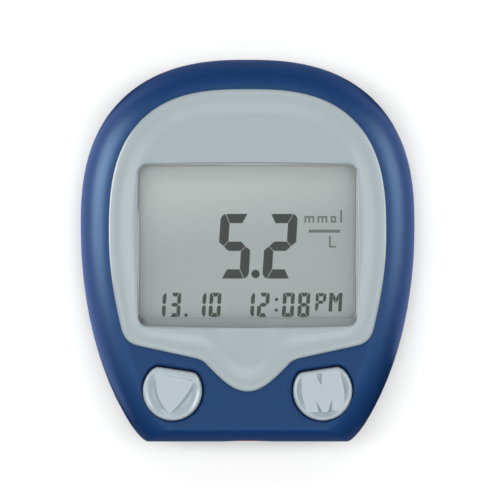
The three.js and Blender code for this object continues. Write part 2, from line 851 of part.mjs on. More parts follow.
function batteryCover() {
  const low = bottomY - overrun;
  const body = rearOuter(coverRecess);
  const plate = box(-railHalf, railHalf, low, coverTopY, coverRecess, coverTopZ);
  const railFloor = railLip + slideGap;
  const cutWidth = railHalf + overrun;
  const ledges = sides.map((side) => box(
    side < 0 ? -cutWidth : coverHalf,
    side < 0 ? -coverHalf : cutWidth,
    shoulderY,
    coverTopY + overrun,
    -overrun,
    railFloor,
  ));
  const tongueHalf = coverHalf - endTongueInset;
  const tongue = box(
    -tongueHalf,
    tongueHalf,
    coverTopY - endTongue,
    coverTopY + endTongue,
    railFloor,
    coverTopZ,
  );
  const wrap = body
    .intersect(box(-railHalf, railHalf, low, coverLipY, coverTopZ - coverThickness / 2, coverLipRise))
    .subtract(rearOuter(coverRecess + coverThickness));
  const gripY = shoulderY - gripRise;
  const hollow = prism(
    roundedRectangle(0, gripY, gripLength, gripWidth, gripWidth / 2, 6),
    -overrun,
    coverRecess + gripDepth,
  );
  let cover = body.intersect(plate).subtract(ledges[0]).subtract(ledges[1]).add(tongue).add(wrap);
  cover = cover.subtract(hollow);
  for (let k = 0; k < gripRibs; k += 1) {
    const share = (k + 1) / (gripRibs + 1) * 2 - 1;
    const y = gripY + share * gripWidth / 2;
    const half = (gripLength - gripWidth) / 2 + gripWidth / 2 * Math.sqrt(1 - share * share);
    const ribLow = coverRecess;
    const ribHigh = coverRecess + gripDepth + coverThickness / 4;
    const rib = box(-half, half, y - gripRibWidth / 2, y + gripRibWidth / 2, ribLow, ribHigh);
    cover = cover.add(rib);
  }
  return cover;
}
add('battery_cover', batteryCover(), 'blue');

// Coin cells: can below, cap with its rounded step above

function coinCell() {
  const capRadius = cellCapDiameter / 2;
  const canTop = cellThickness - cellCapRise;
  const round = cellCapRise / 2;
  return turned([
    [0, 0],
    [cellRadius - round, 0],
    [cellRadius, round],
    [cellRadius, canTop - round],
    [cellRadius - round, canTop],
    [capRadius, canTop],
    [capRadius - round, cellThickness],
    [0, cellThickness],
  ], fineSides);
}
add('coin_cell_1', coinCell(), 'tin', -cellX, cellY, trayZ);
add('coin_cell_2', coinCell(), 'tin', cellX, cellY, trayZ);

// Leaf spring over each cell's cap, with a leg through the bay's ceiling to the board

function capSpring(side) {
  const half = contactThickness / 2;
  const roof = bayRoofZ - half;
  const touch = cellRoofZ + half;
  const geometry = ribbon([
    [side * springReach, boardZ],
    [side * springReach, roof],
    [side * springReach * springKneeShare, roof - half],
    [side * springReach * springTouchShare, touch],
    [-side * springReach * springTouchShare, touch],
    [-side * springReach * springTipShare, touch + contactRoom / 2],
  ], contactThickness, contactWidth);
  geometry.rotateX(Math.PI / 2);
  return geometry;
}

// Side contact pressed against each can, with its leg through the bay's ceiling
function canContact() {
  const half = contactThickness / 2;
  const touchY = cellY - cellRadius - half;
  const bow = touchY - sideLegY;
  const depth = cellRoofZ - trayZ;
  const geometry = ribbon([
    [sideLegY, boardZ],
    [sideLegY, cellRoofZ],
    ...sideBowShares.map(([reach, rise]) => [sideLegY + bow * reach, trayZ + depth * rise]),
  ], contactThickness, sideContactWidth);
  geometry.rotateX(Math.PI / 2);
  geometry.rotateZ(Math.PI / 2);
  return geometry;
}
sides.forEach((side, k) => {
  add(`cell_spring_${k + 1}`, capSpring(side), 'steel', side * cellX, cellY);
  add(`can_contact_${k + 1}`, canContact(), 'steel', side * cellX);
});

// Main board, cleared round the case posts and drilled for its own screws

function mainBoard() {
  let board = prism(bodyOutline(0, boardInset), 0, boardThickness);
  for (const [x, y] of caseScrews) {
    board = board.subtract(disc(x, y, postRadius + screwClearance, -overrun, boardThickness + overrun));
  }
  for (const [x, y] of boardScrews) {
    board = board.subtract(disc(x, y, boardScrewRadius + pilotClearance, -overrun, boardThickness + overrun));
  }
  return board;
}
add('main_board', mainBoard(), 'board', 0, 0, boardZ);

// Chips and crystal on the board, in the free space under the display

function chipPackage(length, width, height) {
  const girth = roundedRectangle(0, 0, length, width, packageTaper, 1);
  const end = roundedRectangle(0, 0, length - 2 * packageTaper, width - 2 * packageTaper, packageTaper, 1);
  return loft([{ outline: end, z: 0 }, { outline: girth, z: height / 2 }, { outline: end, z: height }]);
}
const processor = chipPackage(processorSide, processorSide, processorHeight);
add('processor_chip', processor, 'chip', 0, windowY, boardTopZ);
const analogChip = chipPackage(analogLength, analogWidth, analogHeight);
add('analog_chip', analogChip, 'chip', -chipSpacing, windowY, boardTopZ);
const crystal = new THREE.CylinderGeometry(crystalDiameter / 2, crystalDiameter / 2, crystalLength, 12);
add('clock_crystal', toSolid(crystal), 'tin', chipSpacing, windowY, boardTopZ + crystalDiameter / 2);

// Buzzer under the board, its sound port facing the back

const buzzerCan = disc(0, 0, buzzerDiameter / 2, -buzzerHeight, 0, fineSides)
  .subtract(disc(0, 0, buzzerPort / 2, -buzzerHeight - overrun, -buzzerHeight / 2, 12));
add('buzzer', buzzerCan, 'chip', 0, topY - buzzerDrop, boardZ);

// LCD: two glasses, two films, a holder frame and two elastomer strips

const glassWidth = 2 * (windowHalf + glassMargin);
const glassHeight = windowHeight + 2 * glassMargin;
const rearGlassHeight = glassHeight - 2 * glassLedge;

function sheet(width, height, thickness) {
  return new THREE.BoxGeometry(width, height, thickness);
}
add(
  'lcd_front_glass',
  sheet(glassWidth, glassHeight, glassThickness),
  'glass', 0, windowY, frontGlassZ + glassThickness / 2,
);
add(
  'lcd_rear_glass',
  sheet(glassWidth, rearGlassHeight, glassThickness),
  'glass', 0, windowY, rearGlassZ + glassThickness / 2,
);
const filmInset = frameLipReach + frameClearance;
add(
  'lcd_front_polariser',
  sheet(glassWidth - 2 * filmInset, glassHeight - 2 * filmInset, polariserThickness),
  'film', 0, windowY, frontGlassTopZ + polariserThickness / 2,
);
add(
  'lcd_reflector',
  sheet(glassWidth - 2 * filmInset, rearGlassHeight, reflectorThickness),
  'film', 0, windowY, reflectorZ + reflectorThickness / 2,
);

function lcdFrame() {
  const innerX = glassWidth / 2 + frameClearance;
  const innerY = glassHeight / 2 + frameClearance;
  const lipX = glassWidth / 2 - frameLipReach;
  const lipY = glassHeight / 2 - frameLipReach;
  const outerX = innerX + frameWall;
  const outerY = innerY + frameWall;
  const height = frameTopZ - boardTopZ;
  const block = box(-outerX, outerX, -outerY, outerY, 0, height);
  const seat = box(-innerX, innerX, -innerY, innerY, -overrun, height - frameLip);
  const view = box(-lipX, lipX, -lipY, lipY, -overrun, height + overrun);
  return block.subtract(seat).subtract(view);
}
add('lcd_frame', lcdFrame(), 'white', 0, windowY, boardTopZ);
const zebraY = glassHeight / 2 - glassLedge / 2;
const zebra = new THREE.BoxGeometry(glassWidth - 2 * zebraEnd, zebraThickness, zebraHeight);
sides.forEach((side, k) => {
  const name = k === 0 ? 'zebra_strip_lower' : 'zebra_strip_upper';
  add(name, zebra.clone(), 'zebra', 0, windowY + side * zebraY, boardTopZ + zebraHeight / 2);
});

// Strip port: a mouth with a flared slot, held behind the wall by its flange

const flangeZ = slotMiddleZ - portHeight / 2 + portFlangeInset;
const flangeTopZ = slotMiddleZ + portHeight / 2;
const flangeY = bottomY + bottomRollShare * frontRollAt(flangeTopZ) + wall + connectorGap;
const portBackY = flangeY + portFlangeThickness;
const portFrontY = bottomY + portInset;

function stripPort() {
  const nose = acrossBottom(portOutline(0), portFrontY, portBackY);
  const flangeHalf = portWidth / 2 + portFlange;
  const flange = box(-flangeHalf, flangeHalf, flangeY, portBackY, flangeZ, flangeTopZ);
  const slot = box(
    -slotWidth / 2,
    slotWidth / 2,
    portFrontY - overrun,
    portBackY + overrun,
    slotZ,
    slotZ + slotHeight,
  );
  const mouthRing = (grow) => roundedRectangle(
    0,
    slotMiddleZ,
    slotWidth + 2 * grow,
    slotHeight + 2 * grow,
    slotHeight / 4,
    2,
  );
  const mouth = loftGeometry([
    { outline: mouthRing(0), z: -portFrontY - slotMouthDepth },
    { outline: mouthRing(slotMouth), z: -portFrontY + weldDistance },
  ]);
  mouth.rotateX(Math.PI / 2);
  const bottomRoom = box(
    -flangeHalf - overrun,
    flangeHalf + overrun,
    flangeY - overrun,
    portBackY + overrun,
    boardZ - overrun,
    boardTopZ + connectorGap / 2,
  );
  return nose.add(flange).subtract(slot).subtract(toSolid(mouth)).subtract(bottomRoom);
}
add('strip_port', stripPort(), 'orange');

// Strip connector behind the port, with three bent contacts in its grooves

const connectorY = portBackY + connectorGap;
const connectorEndY = connectorY + connectorLength;

function stripConnector() {
  const half = connectorWidth / 2;
  let housing = box(-half, half, connectorY, connectorEndY, boardTopZ, boardTopZ + connectorHeight)
    .subtract(box(
      -slotWidth / 2,
      slotWidth / 2,
      connectorY - overrun,
      connectorEndY - frameWall,
      slotZ,
      slotZ + slotHeight,
    ));
  const grooveHalf = stripContactWidth / 2 + stripContactGap;
  for (const place of [-1, 0, 1]) {
    const x = place * stripContactPitch;
    housing = housing.subtract(box(
      x - grooveHalf,
      x + grooveHalf,
      connectorY + frameWall,
      connectorEndY + overrun,
      slotZ + slotHeight / 2,
      boardTopZ + connectorHeight - frameLip,
    ));
  }
  return housing;
}
add('strip_connector', stripConnector(), 'chip');

function stripContact() {
  const half = stripContactThickness / 2;
  const backY = connectorEndY + stripContactGap + half;
  const roof = boardTopZ + connectorHeight - frameLip - stripContactGap - half;
  const dip = slotZ + slotHeight * stripPressShare;
  const geometry = ribbon([
    [backY + stripContactFoot, boardTopZ + half],
    [backY, boardTopZ + half],
    [backY, roof],
    [connectorY + connectorLength * stripKneeShare, roof],
    [connectorY + connectorLength * stripDipShare, dip],
    [connectorY + connectorLength * stripTipShare, roof - half],
  ], stripContactThickness, stripContactWidth);
  geometry.rotateX(Math.PI / 2);
  geometry.rotateZ(Math.PI / 2);
  return geometry;
}
[-1, 0, 1].forEach((place, k) => {
  add(`strip_contact_${k + 1}`, stripContact(), 'gold', place * stripContactPitch);
});

// Screws, head down, with a cross recess

function screw(headRadius, headHeight, radius, length) {
  const round = headHeight / 3;
  const body = turned([
    [0, -headHeight],
    [headRadius - round, -headHeight],
    [headRadius, -headHeight + round],
    [headRadius, 0],
    [radius, 0],
    [radius, length - screwTip],
    [radius / 2, length],
    [0, length],
  ], coarseSides);
  const across = driveLength * headRadius / screwHeadRadius / 2;
  const depth = -headHeight + driveDepth;
  return body
    .subtract(box(-across, across, -driveWidth / 2, driveWidth / 2, -headHeight - overrun, depth))
    .subtract(box(-driveWidth / 2, driveWidth / 2, -across, across, -headHeight - overrun, depth));
}
caseScrews.forEach(([x, y], k) => {
  const shape = screw(screwHeadRadius, screwHeadHeight, screwRadius, screwLength);
  add(`case_screw_${k + 1}`, shape, 'steel', x, y, bayRoofZ);
});
boardScrews.forEach(([x, y], k) => {
  const shape = screw(boardScrewHead, boardScrewHeadHeight, boardScrewRadius, boardScrewLength);
  add(`board_screw_${k + 1}`, shape, 'steel', x, y, boardZ);
});

export default meter;
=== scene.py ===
import math

import bpy
import bmesh
import numpy as np
from mathutils import Matrix, Vector


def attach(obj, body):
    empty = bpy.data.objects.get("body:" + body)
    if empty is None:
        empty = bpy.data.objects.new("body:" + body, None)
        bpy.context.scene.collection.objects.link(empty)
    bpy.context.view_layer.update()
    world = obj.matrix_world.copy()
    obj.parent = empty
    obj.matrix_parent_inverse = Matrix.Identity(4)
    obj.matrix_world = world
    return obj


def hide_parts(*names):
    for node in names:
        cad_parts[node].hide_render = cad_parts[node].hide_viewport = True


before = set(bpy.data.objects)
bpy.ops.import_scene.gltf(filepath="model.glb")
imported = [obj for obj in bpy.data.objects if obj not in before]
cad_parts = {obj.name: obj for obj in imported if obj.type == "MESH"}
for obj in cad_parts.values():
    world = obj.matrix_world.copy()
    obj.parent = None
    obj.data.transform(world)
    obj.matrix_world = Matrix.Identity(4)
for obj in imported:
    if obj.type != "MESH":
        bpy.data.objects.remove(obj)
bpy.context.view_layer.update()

mm = 0.001


# Studio: a pale floor under soft panels that light the meter evenly. Low strips, ridge lights and
# blue reflector cards show only in its shine, where they draw the bright crests round its edges.
# A long lens looks straight down on the display.

scene = bpy.context.scene
scene.view_settings.view_transform = "Standard"


def linear(hex_colour):
    """An sRGB hex colour as linear RGBA."""
    channels = [int(hex_colour[k:k + 2], 16) / 255 for k in (1, 3, 5)]
    curve = [c / 12.92 if c <= 0.04045 else ((c + 0.055) / 1.055) ** 2.4 for c in channels]
    return (*curve, 1.0)


def add_node(owner, kind, links=(), **settings):
    """A node in a material or a tree; links are (input, socket) or (input, value) pairs."""
    tree = getattr(owner, "node_tree", owner)
    node = tree.nodes.new(kind)
    for name, value in settings.items():
        setattr(node, name, value)
    for name, value in links:
        if isinstance(value, bpy.types.NodeSocket):
            tree.links.new(value, node.inputs[name])
        else:
            node.inputs[name].default_value = value
    return node


def new_material(name, colour, roughness, **sockets):
    """A material whose shader holds its constants; patterns are added by the caller."""
    material = bpy.data.materials.new(name)
    material.use_nodes = True
    shader = material.node_tree.nodes["Principled BSDF"]
    shader.inputs["Base Color"].default_value = linear(colour)
    shader.inputs["Roughness"].default_value = roughness
    for socket, value in sockets.items():
        shader.inputs[socket.replace("_", " ")].default_value = value
    return material, shader


def object_coordinates(material):
    return add_node(material, "ShaderNodeTexCoord").outputs["Object"]


def add_grain(material, shader, size, depth, kind="ShaderNodeTexNoise", detail=2.0):
    """Roughens a surface with a pattern whose size and depth are in mm; returns its value."""
    pattern = add_node(material, kind, [
        ("Vector", object_coordinates(material)),
        ("Scale", 1 / (size * mm)),
        ("Detail", detail),
    ])
    bump = add_node(material, "ShaderNodeBump", [
        ("Height", pattern.outputs["Fac"]),
        ("Distance", depth * mm),
    ])
    material.node_tree.links.new(bump.outputs["Normal"], shader.inputs["Normal"])
    return pattern.outputs["Fac"]


# Uncoated white paper: dull and even, so that the meter stands alone on it.
paper, paper_shader = new_material("matte_white_paper", "#f7f7f6", 0.9)
add_grain(paper, paper_shader, 4, 0.01)
floor_side, floor_drop = 3000.0, 0.02
bpy.ops.mesh.primitive_plane_add(size=floor_side * mm, location=(0, 0, -floor_drop * mm))
floor = bpy.context.object
floor.name = "floor"
floor.data.materials.append(paper)
floor.visible_glossy = False
floor.visible_diffuse = False

world = bpy.data.worlds.new("white_room")
scene.world = world
world.use_nodes = True
room_light = world.node_tree.nodes["Background"].inputs
room_light["Color"].default_value = (1, 1, 1, 1)
room_light["Strength"].default_value = 0.3
world.cycles_visibility.glossy = False


aim_height = 10.0


def softbox(name, place, size, power, shines=True, fills=True):
    """An area light at a place in mm, aimed at the meter's middle.

    One that shines shows in glossy surfaces, and one that fills lights the others.
    """
    light = bpy.data.lights.new(name, "AREA")
    light.shape = "RECTANGLE"
    light.size = size[0] * mm
    light.size_y = size[1] * mm
    light.energy = power
    lamp = bpy.data.objects.new(name, light)
    lamp.location = Vector(place) * mm
    aim = Vector((0, 0, aim_height * mm)) - lamp.location
    lamp.rotation_euler = aim.to_track_quat("-Z", "Y").to_euler()
    lamp.visible_glossy = shines
    lamp.visible_diffuse = fills
    scene.collection.objects.link(lamp)


strip_size, ridge_size, side_size, end_size = (390, 460), (520, 120), (240, 600), (500, 240)
softbox("left_strip", (-520, 130, 150), strip_size, 5.4, fills=False)
softbox("right_strip", (520, 130, 150), strip_size, 3.5, fills=False)
softbox("left_ridge_light", (-355, 0, 615), ridge_size, 0.55, fills=False)
softbox("right_ridge_light", (355, 0, 615), ridge_size, 0.65, fills=False)
softbox("head_ridge_light", (0, 355, 615), ridge_size, 0.35, fills=False)
softbox("foot_ridge_light", (0, -355, 615), ridge_size, 0.65, fills=False)
softbox("left_panel", (-460, 60, 700), side_size, 1.7, shines=False)
softbox("right_panel", (460, 60, 700), side_size, 1.3, shines=False)
softbox("head_panel", (0, 460, 560), end_size, 1.3, shines=False)
softbox("foot_panel", (0, -460, 560), end_size, 1.1, shines=False)
softbox("overhead", (0, 0, 1000), (500, 500), 3.4, shines=False)

# The cards glow pale blue, which gives the crests their cool tone.
card_height = 0.5
for name, middle, half, glow in (
    ("left_card", (-95, 41), (64, 79), 1.5),
    ("right_card", (95, 49), (64, 71), 1.15),
    ("foot_card", (0, -110), (31, 74), 0.33),
    ("head_card", (0, 110), (31, 74), 0.5),
):
    card_material = bpy.data.materials.new(name)
    card_material.use_nodes = True
    card_material.node_tree.nodes.clear()
    card_light = add_node(card_material, "ShaderNodeEmission", [
        ("Color", linear("#a8bfff")),
        ("Strength", glow),
    ])
    add_node(card_material, "ShaderNodeOutputMaterial", [("Surface", card_light.outputs["Emission"])])
    bpy.ops.mesh.primitive_plane_add(size=2.0, location=Vector((*middle, card_height)) * mm)
    card = bpy.context.object
    card.name = name
    card.data.transform(Matrix.Diagonal((half[0] * mm, half[1] * mm, 1, 1)))
    card.data.materials.append(card_material)
    card.visible_camera = card.visible_diffuse = card.visible_shadow = False


# The meter's middle in the photo and its pixels per mm there, at the height of the parting line.
photo_side, photo_centre, photo_scale = 500, (247.6, 250.5), 5.467
camera_height, scale_height, sensor_width = 446.0, 8.0, 36.0
camera_data = bpy.data.cameras.new("camera")
camera = bpy.data.objects.new("camera", camera_data)
scene.collection.objects.link(camera)
camera.location = (
    (photo_side / 2 - photo_centre[0]) / photo_scale * mm,
    (photo_centre[1] - photo_side / 2) / photo_scale * mm,
    camera_height * mm,
)
camera_data.sensor_width = sensor_width
view_width = photo_side / photo_scale
camera_data.angle = 2 * math.atan(view_width / 2 / (camera_height - scale_height))
camera_data.clip_start = 0.01
scene.camera = camera


# Front cover: injection-moulded blue ABS, satin from the fine spark texture of its mould. It is a
# crowned pebble hollowed from below, with the plate's recess, the display opening, two key holes and
# the strip port's notch cut through it. Its screw posts never show and are not drawn.

body_width, body_height = 61.0, 69.7
widest_height, flank_reach = 39.3, 49.9
crown_power, flank_power = 2.5, 2.05
corner_rise, corner_run = 3.1, 1.0
wall = 2.0
parting = 8.0
front_roll, back_roll, bottom_roll_share = 6.5, 4.2, 0.5
seam_chamfer = 0.25
inner_steps = 4, 16, 28
ceiling, recess, face = 15.0, 16.2, 17.4
top_y = body_height / 2
bottom_y = -top_y
widest_y = bottom_y + widest_height
# A cutter runs this far past what it cuts, and a rounded one ends just clear of the face.
overrun, clear_of_face = 1.0, 0.012


def bezier(points, steps):
    """Points along a quadratic or cubic curve, both ends included."""
    t = np.linspace(0, 1, steps + 1)[:, None]
    degree = len(points) - 1
    return sum(
        math.comb(degree, k) * (1 - t) ** (degree - k) * t ** k * np.array(point, float)
        for k, point in enumerate(points)
    )


def mirrored(half):
    """A right-hand half outline and its mirror image, without doubling points on the axis."""
    inner = half[half[:, 0] > 1e-6]
    return np.vstack([half, inner[::-1] * (-1, 1)])


def body_outline(roll, inset=0.0, corner_steps=10, flank_steps=48, crown_steps=84):
    """The meter's outline in mm, counter-clockwise from the bottom edge."""
    half_width = body_width / 2 - roll - inset
    rise = top_y - widest_y - roll - inset
    reach = flank_reach - roll - inset
    bottom = bottom_y + bottom_roll_share * roll + inset

    def flank_x(y):
        return half_width * (1 - ((widest_y - y) / reach) ** flank_power) ** (1 / flank_power)

    corner_x, corner_y = flank_x(bottom), bottom + corner_rise
    corner = bezier([
        (corner_x - corner_run, bottom),
        (corner_x, bottom),
        (flank_x(corner_y), corner_y),
    ], corner_steps)
    flank_y = np.linspace(corner_y, widest_y, flank_steps + 1)[1:]
    flank = np.column_stack([flank_x(flank_y), flank_y])
    angle = np.linspace(0, math.pi / 2, crown_steps + 1)[1:]
    crown = np.column_stack([
        half_width * np.abs(np.cos(angle)) ** (2 / crown_power),
        widest_y + rise * np.sin(angle) ** (2 / crown_power),
    ])
    crown[-1, 0] = 0
    return mirrored(np.vstack([corner, flank, crown]))


def front_roll_at(z):
    return front_roll * (1 - math.sqrt(max(0.0, 1 - ((z - parting) / (face - parting)) ** 2)))


def back_roll_at(z):
    return back_roll * (1 - math.sqrt(max(0.0, 1 - ((parting - z) / parting) ** 2)))


def link_mesh(name, mesh):
    piece = bpy.data.objects.new(name, mesh)
    scene.collection.objects.link(piece)
    return piece


def loft(name, rings):
    """A closed mesh from rings of (outline, z) in mm, lowest first; z may differ by point."""
    count = len(rings[0][0])
    vertices = []
    for outline, z in rings:
        heights = np.broadcast_to(z, count)
        vertices.extend((x * mm, y * mm, h * mm) for (x, y), h in zip(outline, heights))
    faces = [list(range(count))[::-1]]
    for level in range(len(rings) - 1):
        for k in range(count):
            here, following = level * count + k, level * count + (k + 1) % count
            faces.append((here, following, following + count, here + count))
    faces.append([(len(rings) - 1) * count + k for k in range(count)])
    mesh = bpy.data.meshes.new(name)
    mesh.from_pydata(vertices, [], faces)
    mesh.update()
    return link_mesh(name, mesh)


def prism(name, outline, low, high):
    return loft(name, [(outline, low), (outline, high)])


def block(name, left, right, front, back, low, high):
    outline = [(left, front), (right, front), (right, back), (left, back)]
    return prism(name, outline, low, high)


def circle(x, y, radius, sides=64):
    angle = np.arange(sides) * 2 * math.pi / sides
    return np.column_stack([x + radius * np.cos(angle), y + radius * np.sin(angle)])


def disc(name, x, y, radius, low, high, sides=64):
    return prism(name, circle(x, y, radius, sides), low, high)


def applied(piece):
    """Turns a piece's modifiers into its mesh."""
    depsgraph = bpy.context.evaluated_depsgraph_get()
    mesh = bpy.data.meshes.new_from_object(piece.evaluated_get(depsgraph))
    old = piece.data
    piece.modifiers.clear()
    piece.data = mesh
    bpy.data.meshes.remove(old)
    return piece


def combined(piece, others, operation):
    """Joins or cuts a piece with others, which are used up."""
    for other in others:
        modifier = piece.modifiers.new("shape", "BOOLEAN")
        modifier.operation = operation
        modifier.solver = "EXACT"
        modifier.object = other
        applied(piece)
        bpy.data.objects.remove(other)
    return piece


def cut(piece, *others):
    return combined(piece, others, "DIFFERENCE")


def join(piece, *others):
    return combined(piece, others, "UNION")


def finish_mesh(piece, material, crease=32, bevel=0.0, segments=2):
    """Rounds sharp edges, shades the rest smooth and gives the piece its material."""
    if bevel:
        modifier = piece.modifiers.new("edge", "BEVEL")
        modifier.width = bevel * mm
        modifier.segments = segments
        modifier.limit_method = "ANGLE"
        modifier.angle_limit = math.radians(crease)
        modifier.harden_normals = True
        modifier.use_clamp_overlap = True
        applied(piece)
    piece.data.shade_smooth()
    piece.data.set_sharp_from_angle(angle=math.radians(crease))
    modifier = piece.modifiers.new("normals", "WEIGHTED_NORMAL")
    modifier.keep_sharp = True
    applied(piece)
    piece.data.materials.clear()
    piece.data.materials.append(material)
    return piece


def rounded_rectangle(x, y, width, height, radius, steps=12):
    outline = []
    for corner in range(4):
        side_x = 1 if corner in (0, 3) else -1
        side_y = 1 if corner < 2 else -1
        for k in range(steps + 1):
            angle = (corner + k / steps) * math.pi / 2
            outline.append((
                x + side_x * (width / 2 - radius) + radius * math.cos(angle),
                y + side_y * (height / 2 - radius) + radius * math.sin(angle),
            ))
    return np.array(outline)


def drawn_in(outline, inset):
    """The outline with each point moved inwards along its mitre."""
    first = outline - np.roll(outline, 1, axis=0)
    second = np.roll(outline, -1, axis=0) - outline
    first /= np.linalg.norm(first, axis=1)[:, None]
    second /= np.linalg.norm(second, axis=1)[:, None]
    total = first + second
    normal = np.column_stack([total[:, 1], -total[:, 0]])
    scale = inset / (1 + (first * second).sum(axis=1))
    return outline - normal * scale[:, None]


plate_half, plate_top_y, plate_widest_y, plate_tip_y = 24.82, 28.85, 2.75, -25.2
plate_power, seen_gap = 2.75, 0.03
# Control points of the plate's lower outline, as shares of its half width and lower length.
side_shares = [(1, 0), (1, 0.242), (0.951, 0.4386), (0.9105, 0.5939)]
foot_corner_shares = [(0.9105, 0.5939), (0.8904, 0.6675), (0.8461, 0.6961), (0.7816, 0.7086)]
shoulder_shares = [(0.3948, 0.7837), (0.3183, 0.7965), (0.2901, 0.833)]
tongue_shares = [(0.2901, 0.833), (0.2256, 0.8856), (0.1249, 1), (0, 1)]


def plate_outline(steps=4):
    """The face plate's outline in mm, counter-clockwise from the tip of its tongue."""
    lower = plate_widest_y - plate_tip_y

    def place(shares):
        return [(x * plate_half, plate_widest_y - y * lower) for x, y in shares][::-1]

    parts = [
        bezier(place(tongue_shares), 9 * steps),
        bezier(place(shoulder_shares), 3 * steps)[1:],
        bezier(place(foot_corner_shares), 5 * steps),
        bezier(place(side_shares), 5 * steps)[1:],
    ]
    angle = np.linspace(0, math.pi / 2, 18 * steps + 1)[1:]
    crown = np.column_stack([
        plate_half * np.abs(np.cos(angle)) ** (2 / plate_power),
        plate_widest_y + (plate_top_y - plate_widest_y) * np.sin(angle) ** (2 / plate_power),
    ])
    crown[-1, 0] = 0
    return mirrored(np.vstack([*parts, crown]))


key_x, key_y = 13.43, -25.09
key_radius, key_chord, key_tilt, key_corner = 5.28, 3.82, 8.7, 0.9
key_gap, hole_round, hole_shift = 0.2, 0.5, 0.12


def key_outline(side, inset, arc_steps=180, corner_steps=12, straight_steps=70):
    """A key's outline about its own centre: a circle with a straight, tilted upper side."""
    radius, chord = key_radius - inset, key_chord - inset
    normal_angle = math.pi / 2 + side * math.radians(key_tilt)
    half_angle = math.acos(chord / radius)
    trim = key_corner / key_radius
    start = normal_angle + half_angle + trim
    end = normal_angle - half_angle - trim + 2 * math.pi
    angle = np.linspace(start, end, arc_steps + 1)
    arc = np.column_stack([np.cos(angle), np.sin(angle)]) * radius
    across = np.array([math.sin(normal_angle), -math.cos(normal_angle)])
    middle = np.array([math.cos(normal_angle), math.sin(normal_angle)]) * chord
    half_chord = math.sqrt(radius ** 2 - chord ** 2)
    straight = half_chord * (1 - trim)

    def corner(from_point, sign):
        end_point = middle + across * sign * straight
        return bezier([from_point, middle + across * sign * half_chord, end_point], corner_steps)[1:]

    first, second = corner(arc[-1], 1), corner(arc[0], -1)[::-1]
    upper_side = np.linspace(first[-1], second[0], straight_steps + 1)[1:-1]
    return np.vstack([arc, first, upper_side, second])


window_half, window_y, window_height, window_corner = 19.74, 0.95, 29.4, 1.2
tape_side, tape_top, tape_bottom = 0.3, 0.3, 1.6
port_width, port_height, port_corner = 7.8, 3.4, 1.2
port_gap, port_inset, port_scoop, port_reach = 0.3, 0.3, 0.5, 4.0
slot_width, slot_height, slot_z = 6.2, 0.9, 9.4
slot_middle = slot_z + slot_height / 2


def across_bottom(name, outline, front, back):
    """A prism along Y from an outline drawn in X and Z."""
    piece = prism(name, outline, -back, -front)
    piece.data.transform(Matrix.Rotation(math.pi / 2, 4, "X"))
    return piece


def port_outline(grow):
    height = port_height + 2 * grow
    return rounded_rectangle(0, slot_middle, port_width + 2 * grow, height, port_corner + grow, 16)


def port_opening():
    return across_bottom("port_cut", port_outline(port_gap), bottom_y - overrun, bottom_y + port_reach)


front_levels, cavity_levels, hole_levels = 30, 8, 6
front_rings = [(body_outline(0, seam_chamfer), parting)]
for k in range(front_levels + 1):
    rise = math.sin(math.pi / 2 * k / front_levels)
    z = parting + seam_chamfer + (face - parting - seam_chamfer) * rise
    front_rings.append((body_outline(front_roll_at(z)), z))
front_shell = loft("front_shell", front_rings)
cavity_rings = [(body_outline(0, wall, *inner_steps), parting - overrun)]
for k in range(cavity_levels + 1):
    z = parting + (ceiling - parting) * math.sin(math.pi / 2 * k / cavity_levels)
    cavity_rings.append((body_outline(front_roll_at(z), wall, *inner_steps), z))
recess_outline = drawn_in(plate_outline(), -seen_gap)
opening = rounded_rectangle(
    0,
    window_y + (tape_bottom - tape_top) / 2,
    2 * (window_half - tape_side),
    window_height - tape_top - tape_bottom,
    window_corner,
)
cutters = [
    loft("cavity", cavity_rings),
    prism("recess", recess_outline, recess, face + overrun),
    prism("opening", opening, ceiling - overrun, recess + overrun),
    port_opening(),
]
for side in (-1, 1):
    hole_rings = []
    for k in range(hole_levels + 1):
        angle = math.pi / 2 * k / hole_levels
        run = hole_round * (1 - math.cos(angle))
        hole_rings.append((
            key_outline(side, -key_gap - run) + (side * key_x, key_y + hole_shift * (0.5 + run)),
            face - hole_round * (1 - math.sin(angle)) + clear_of_face,
        ))
    hole_rings.insert(0, (hole_rings[0][0], ceiling - overrun))
    hole_rings.append((hole_rings[-1][0], face + overrun))
    cutters.append(loft("key_hole", hole_rings))
scoop_radius = (port_width ** 2 / 4 + port_scoop ** 2) / (2 * port_scoop)
scoop_z = slot_middle + port_height / 2
scoop_y = bottom_y + port_scoop - scoop_radius
cutters.append(disc("scoop", 0, scoop_y, scoop_radius, scoop_z, face + overrun, 256))
cut(front_shell, *cutters)


def textured_plastic(name, colour, roughness, grain, depth, **sockets):
    """Moulded plastic with the fine grain that its mould leaves; grain and depth are in mm."""
    material, shader = new_material(name, colour, roughness, **sockets)
    add_grain(material, shader, grain, depth, detail=3.0)
    return material


# Spark-textured blue ABS: deep blue, with broad soft crests of light blue and no sharp glints.
blue_abs = textured_plastic(
    "blue_abs", "#0d3365", 0.4, 0.35, 0.006, Specular_Tint=(0.5, 0.76, 1.0, 1.0))
finish_mesh(front_shell, blue_abs)
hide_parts("front_cover")
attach(front_shell, "meter_body")


# Face plate: pale blue-grey ABS, moulded with a smooth satin face and bonded into the cover's
# recess. Its edge is rolled over, and its face swells a little between that edge and the window.

plate_top = 18.4
edge_levels, edge_run, edge_rise = 10, 1.3, 0.5
swell_levels, swell_spread, window_overlap = 26, 1.3, 0.3
dip_depth, dip_place, dip_width = 0.03, 0.7, 0.45
ridge_height, ridge_place, ridge_width = 0.52, 3.5, 1.8
lens_top = 17.6
lens_margin, lens_clearance = 1.0, 0.15
bevel_levels, window_bevel = 4, 0.35
bowed_corner, window_bow = 1.6, np.array([0.25, 0.35])

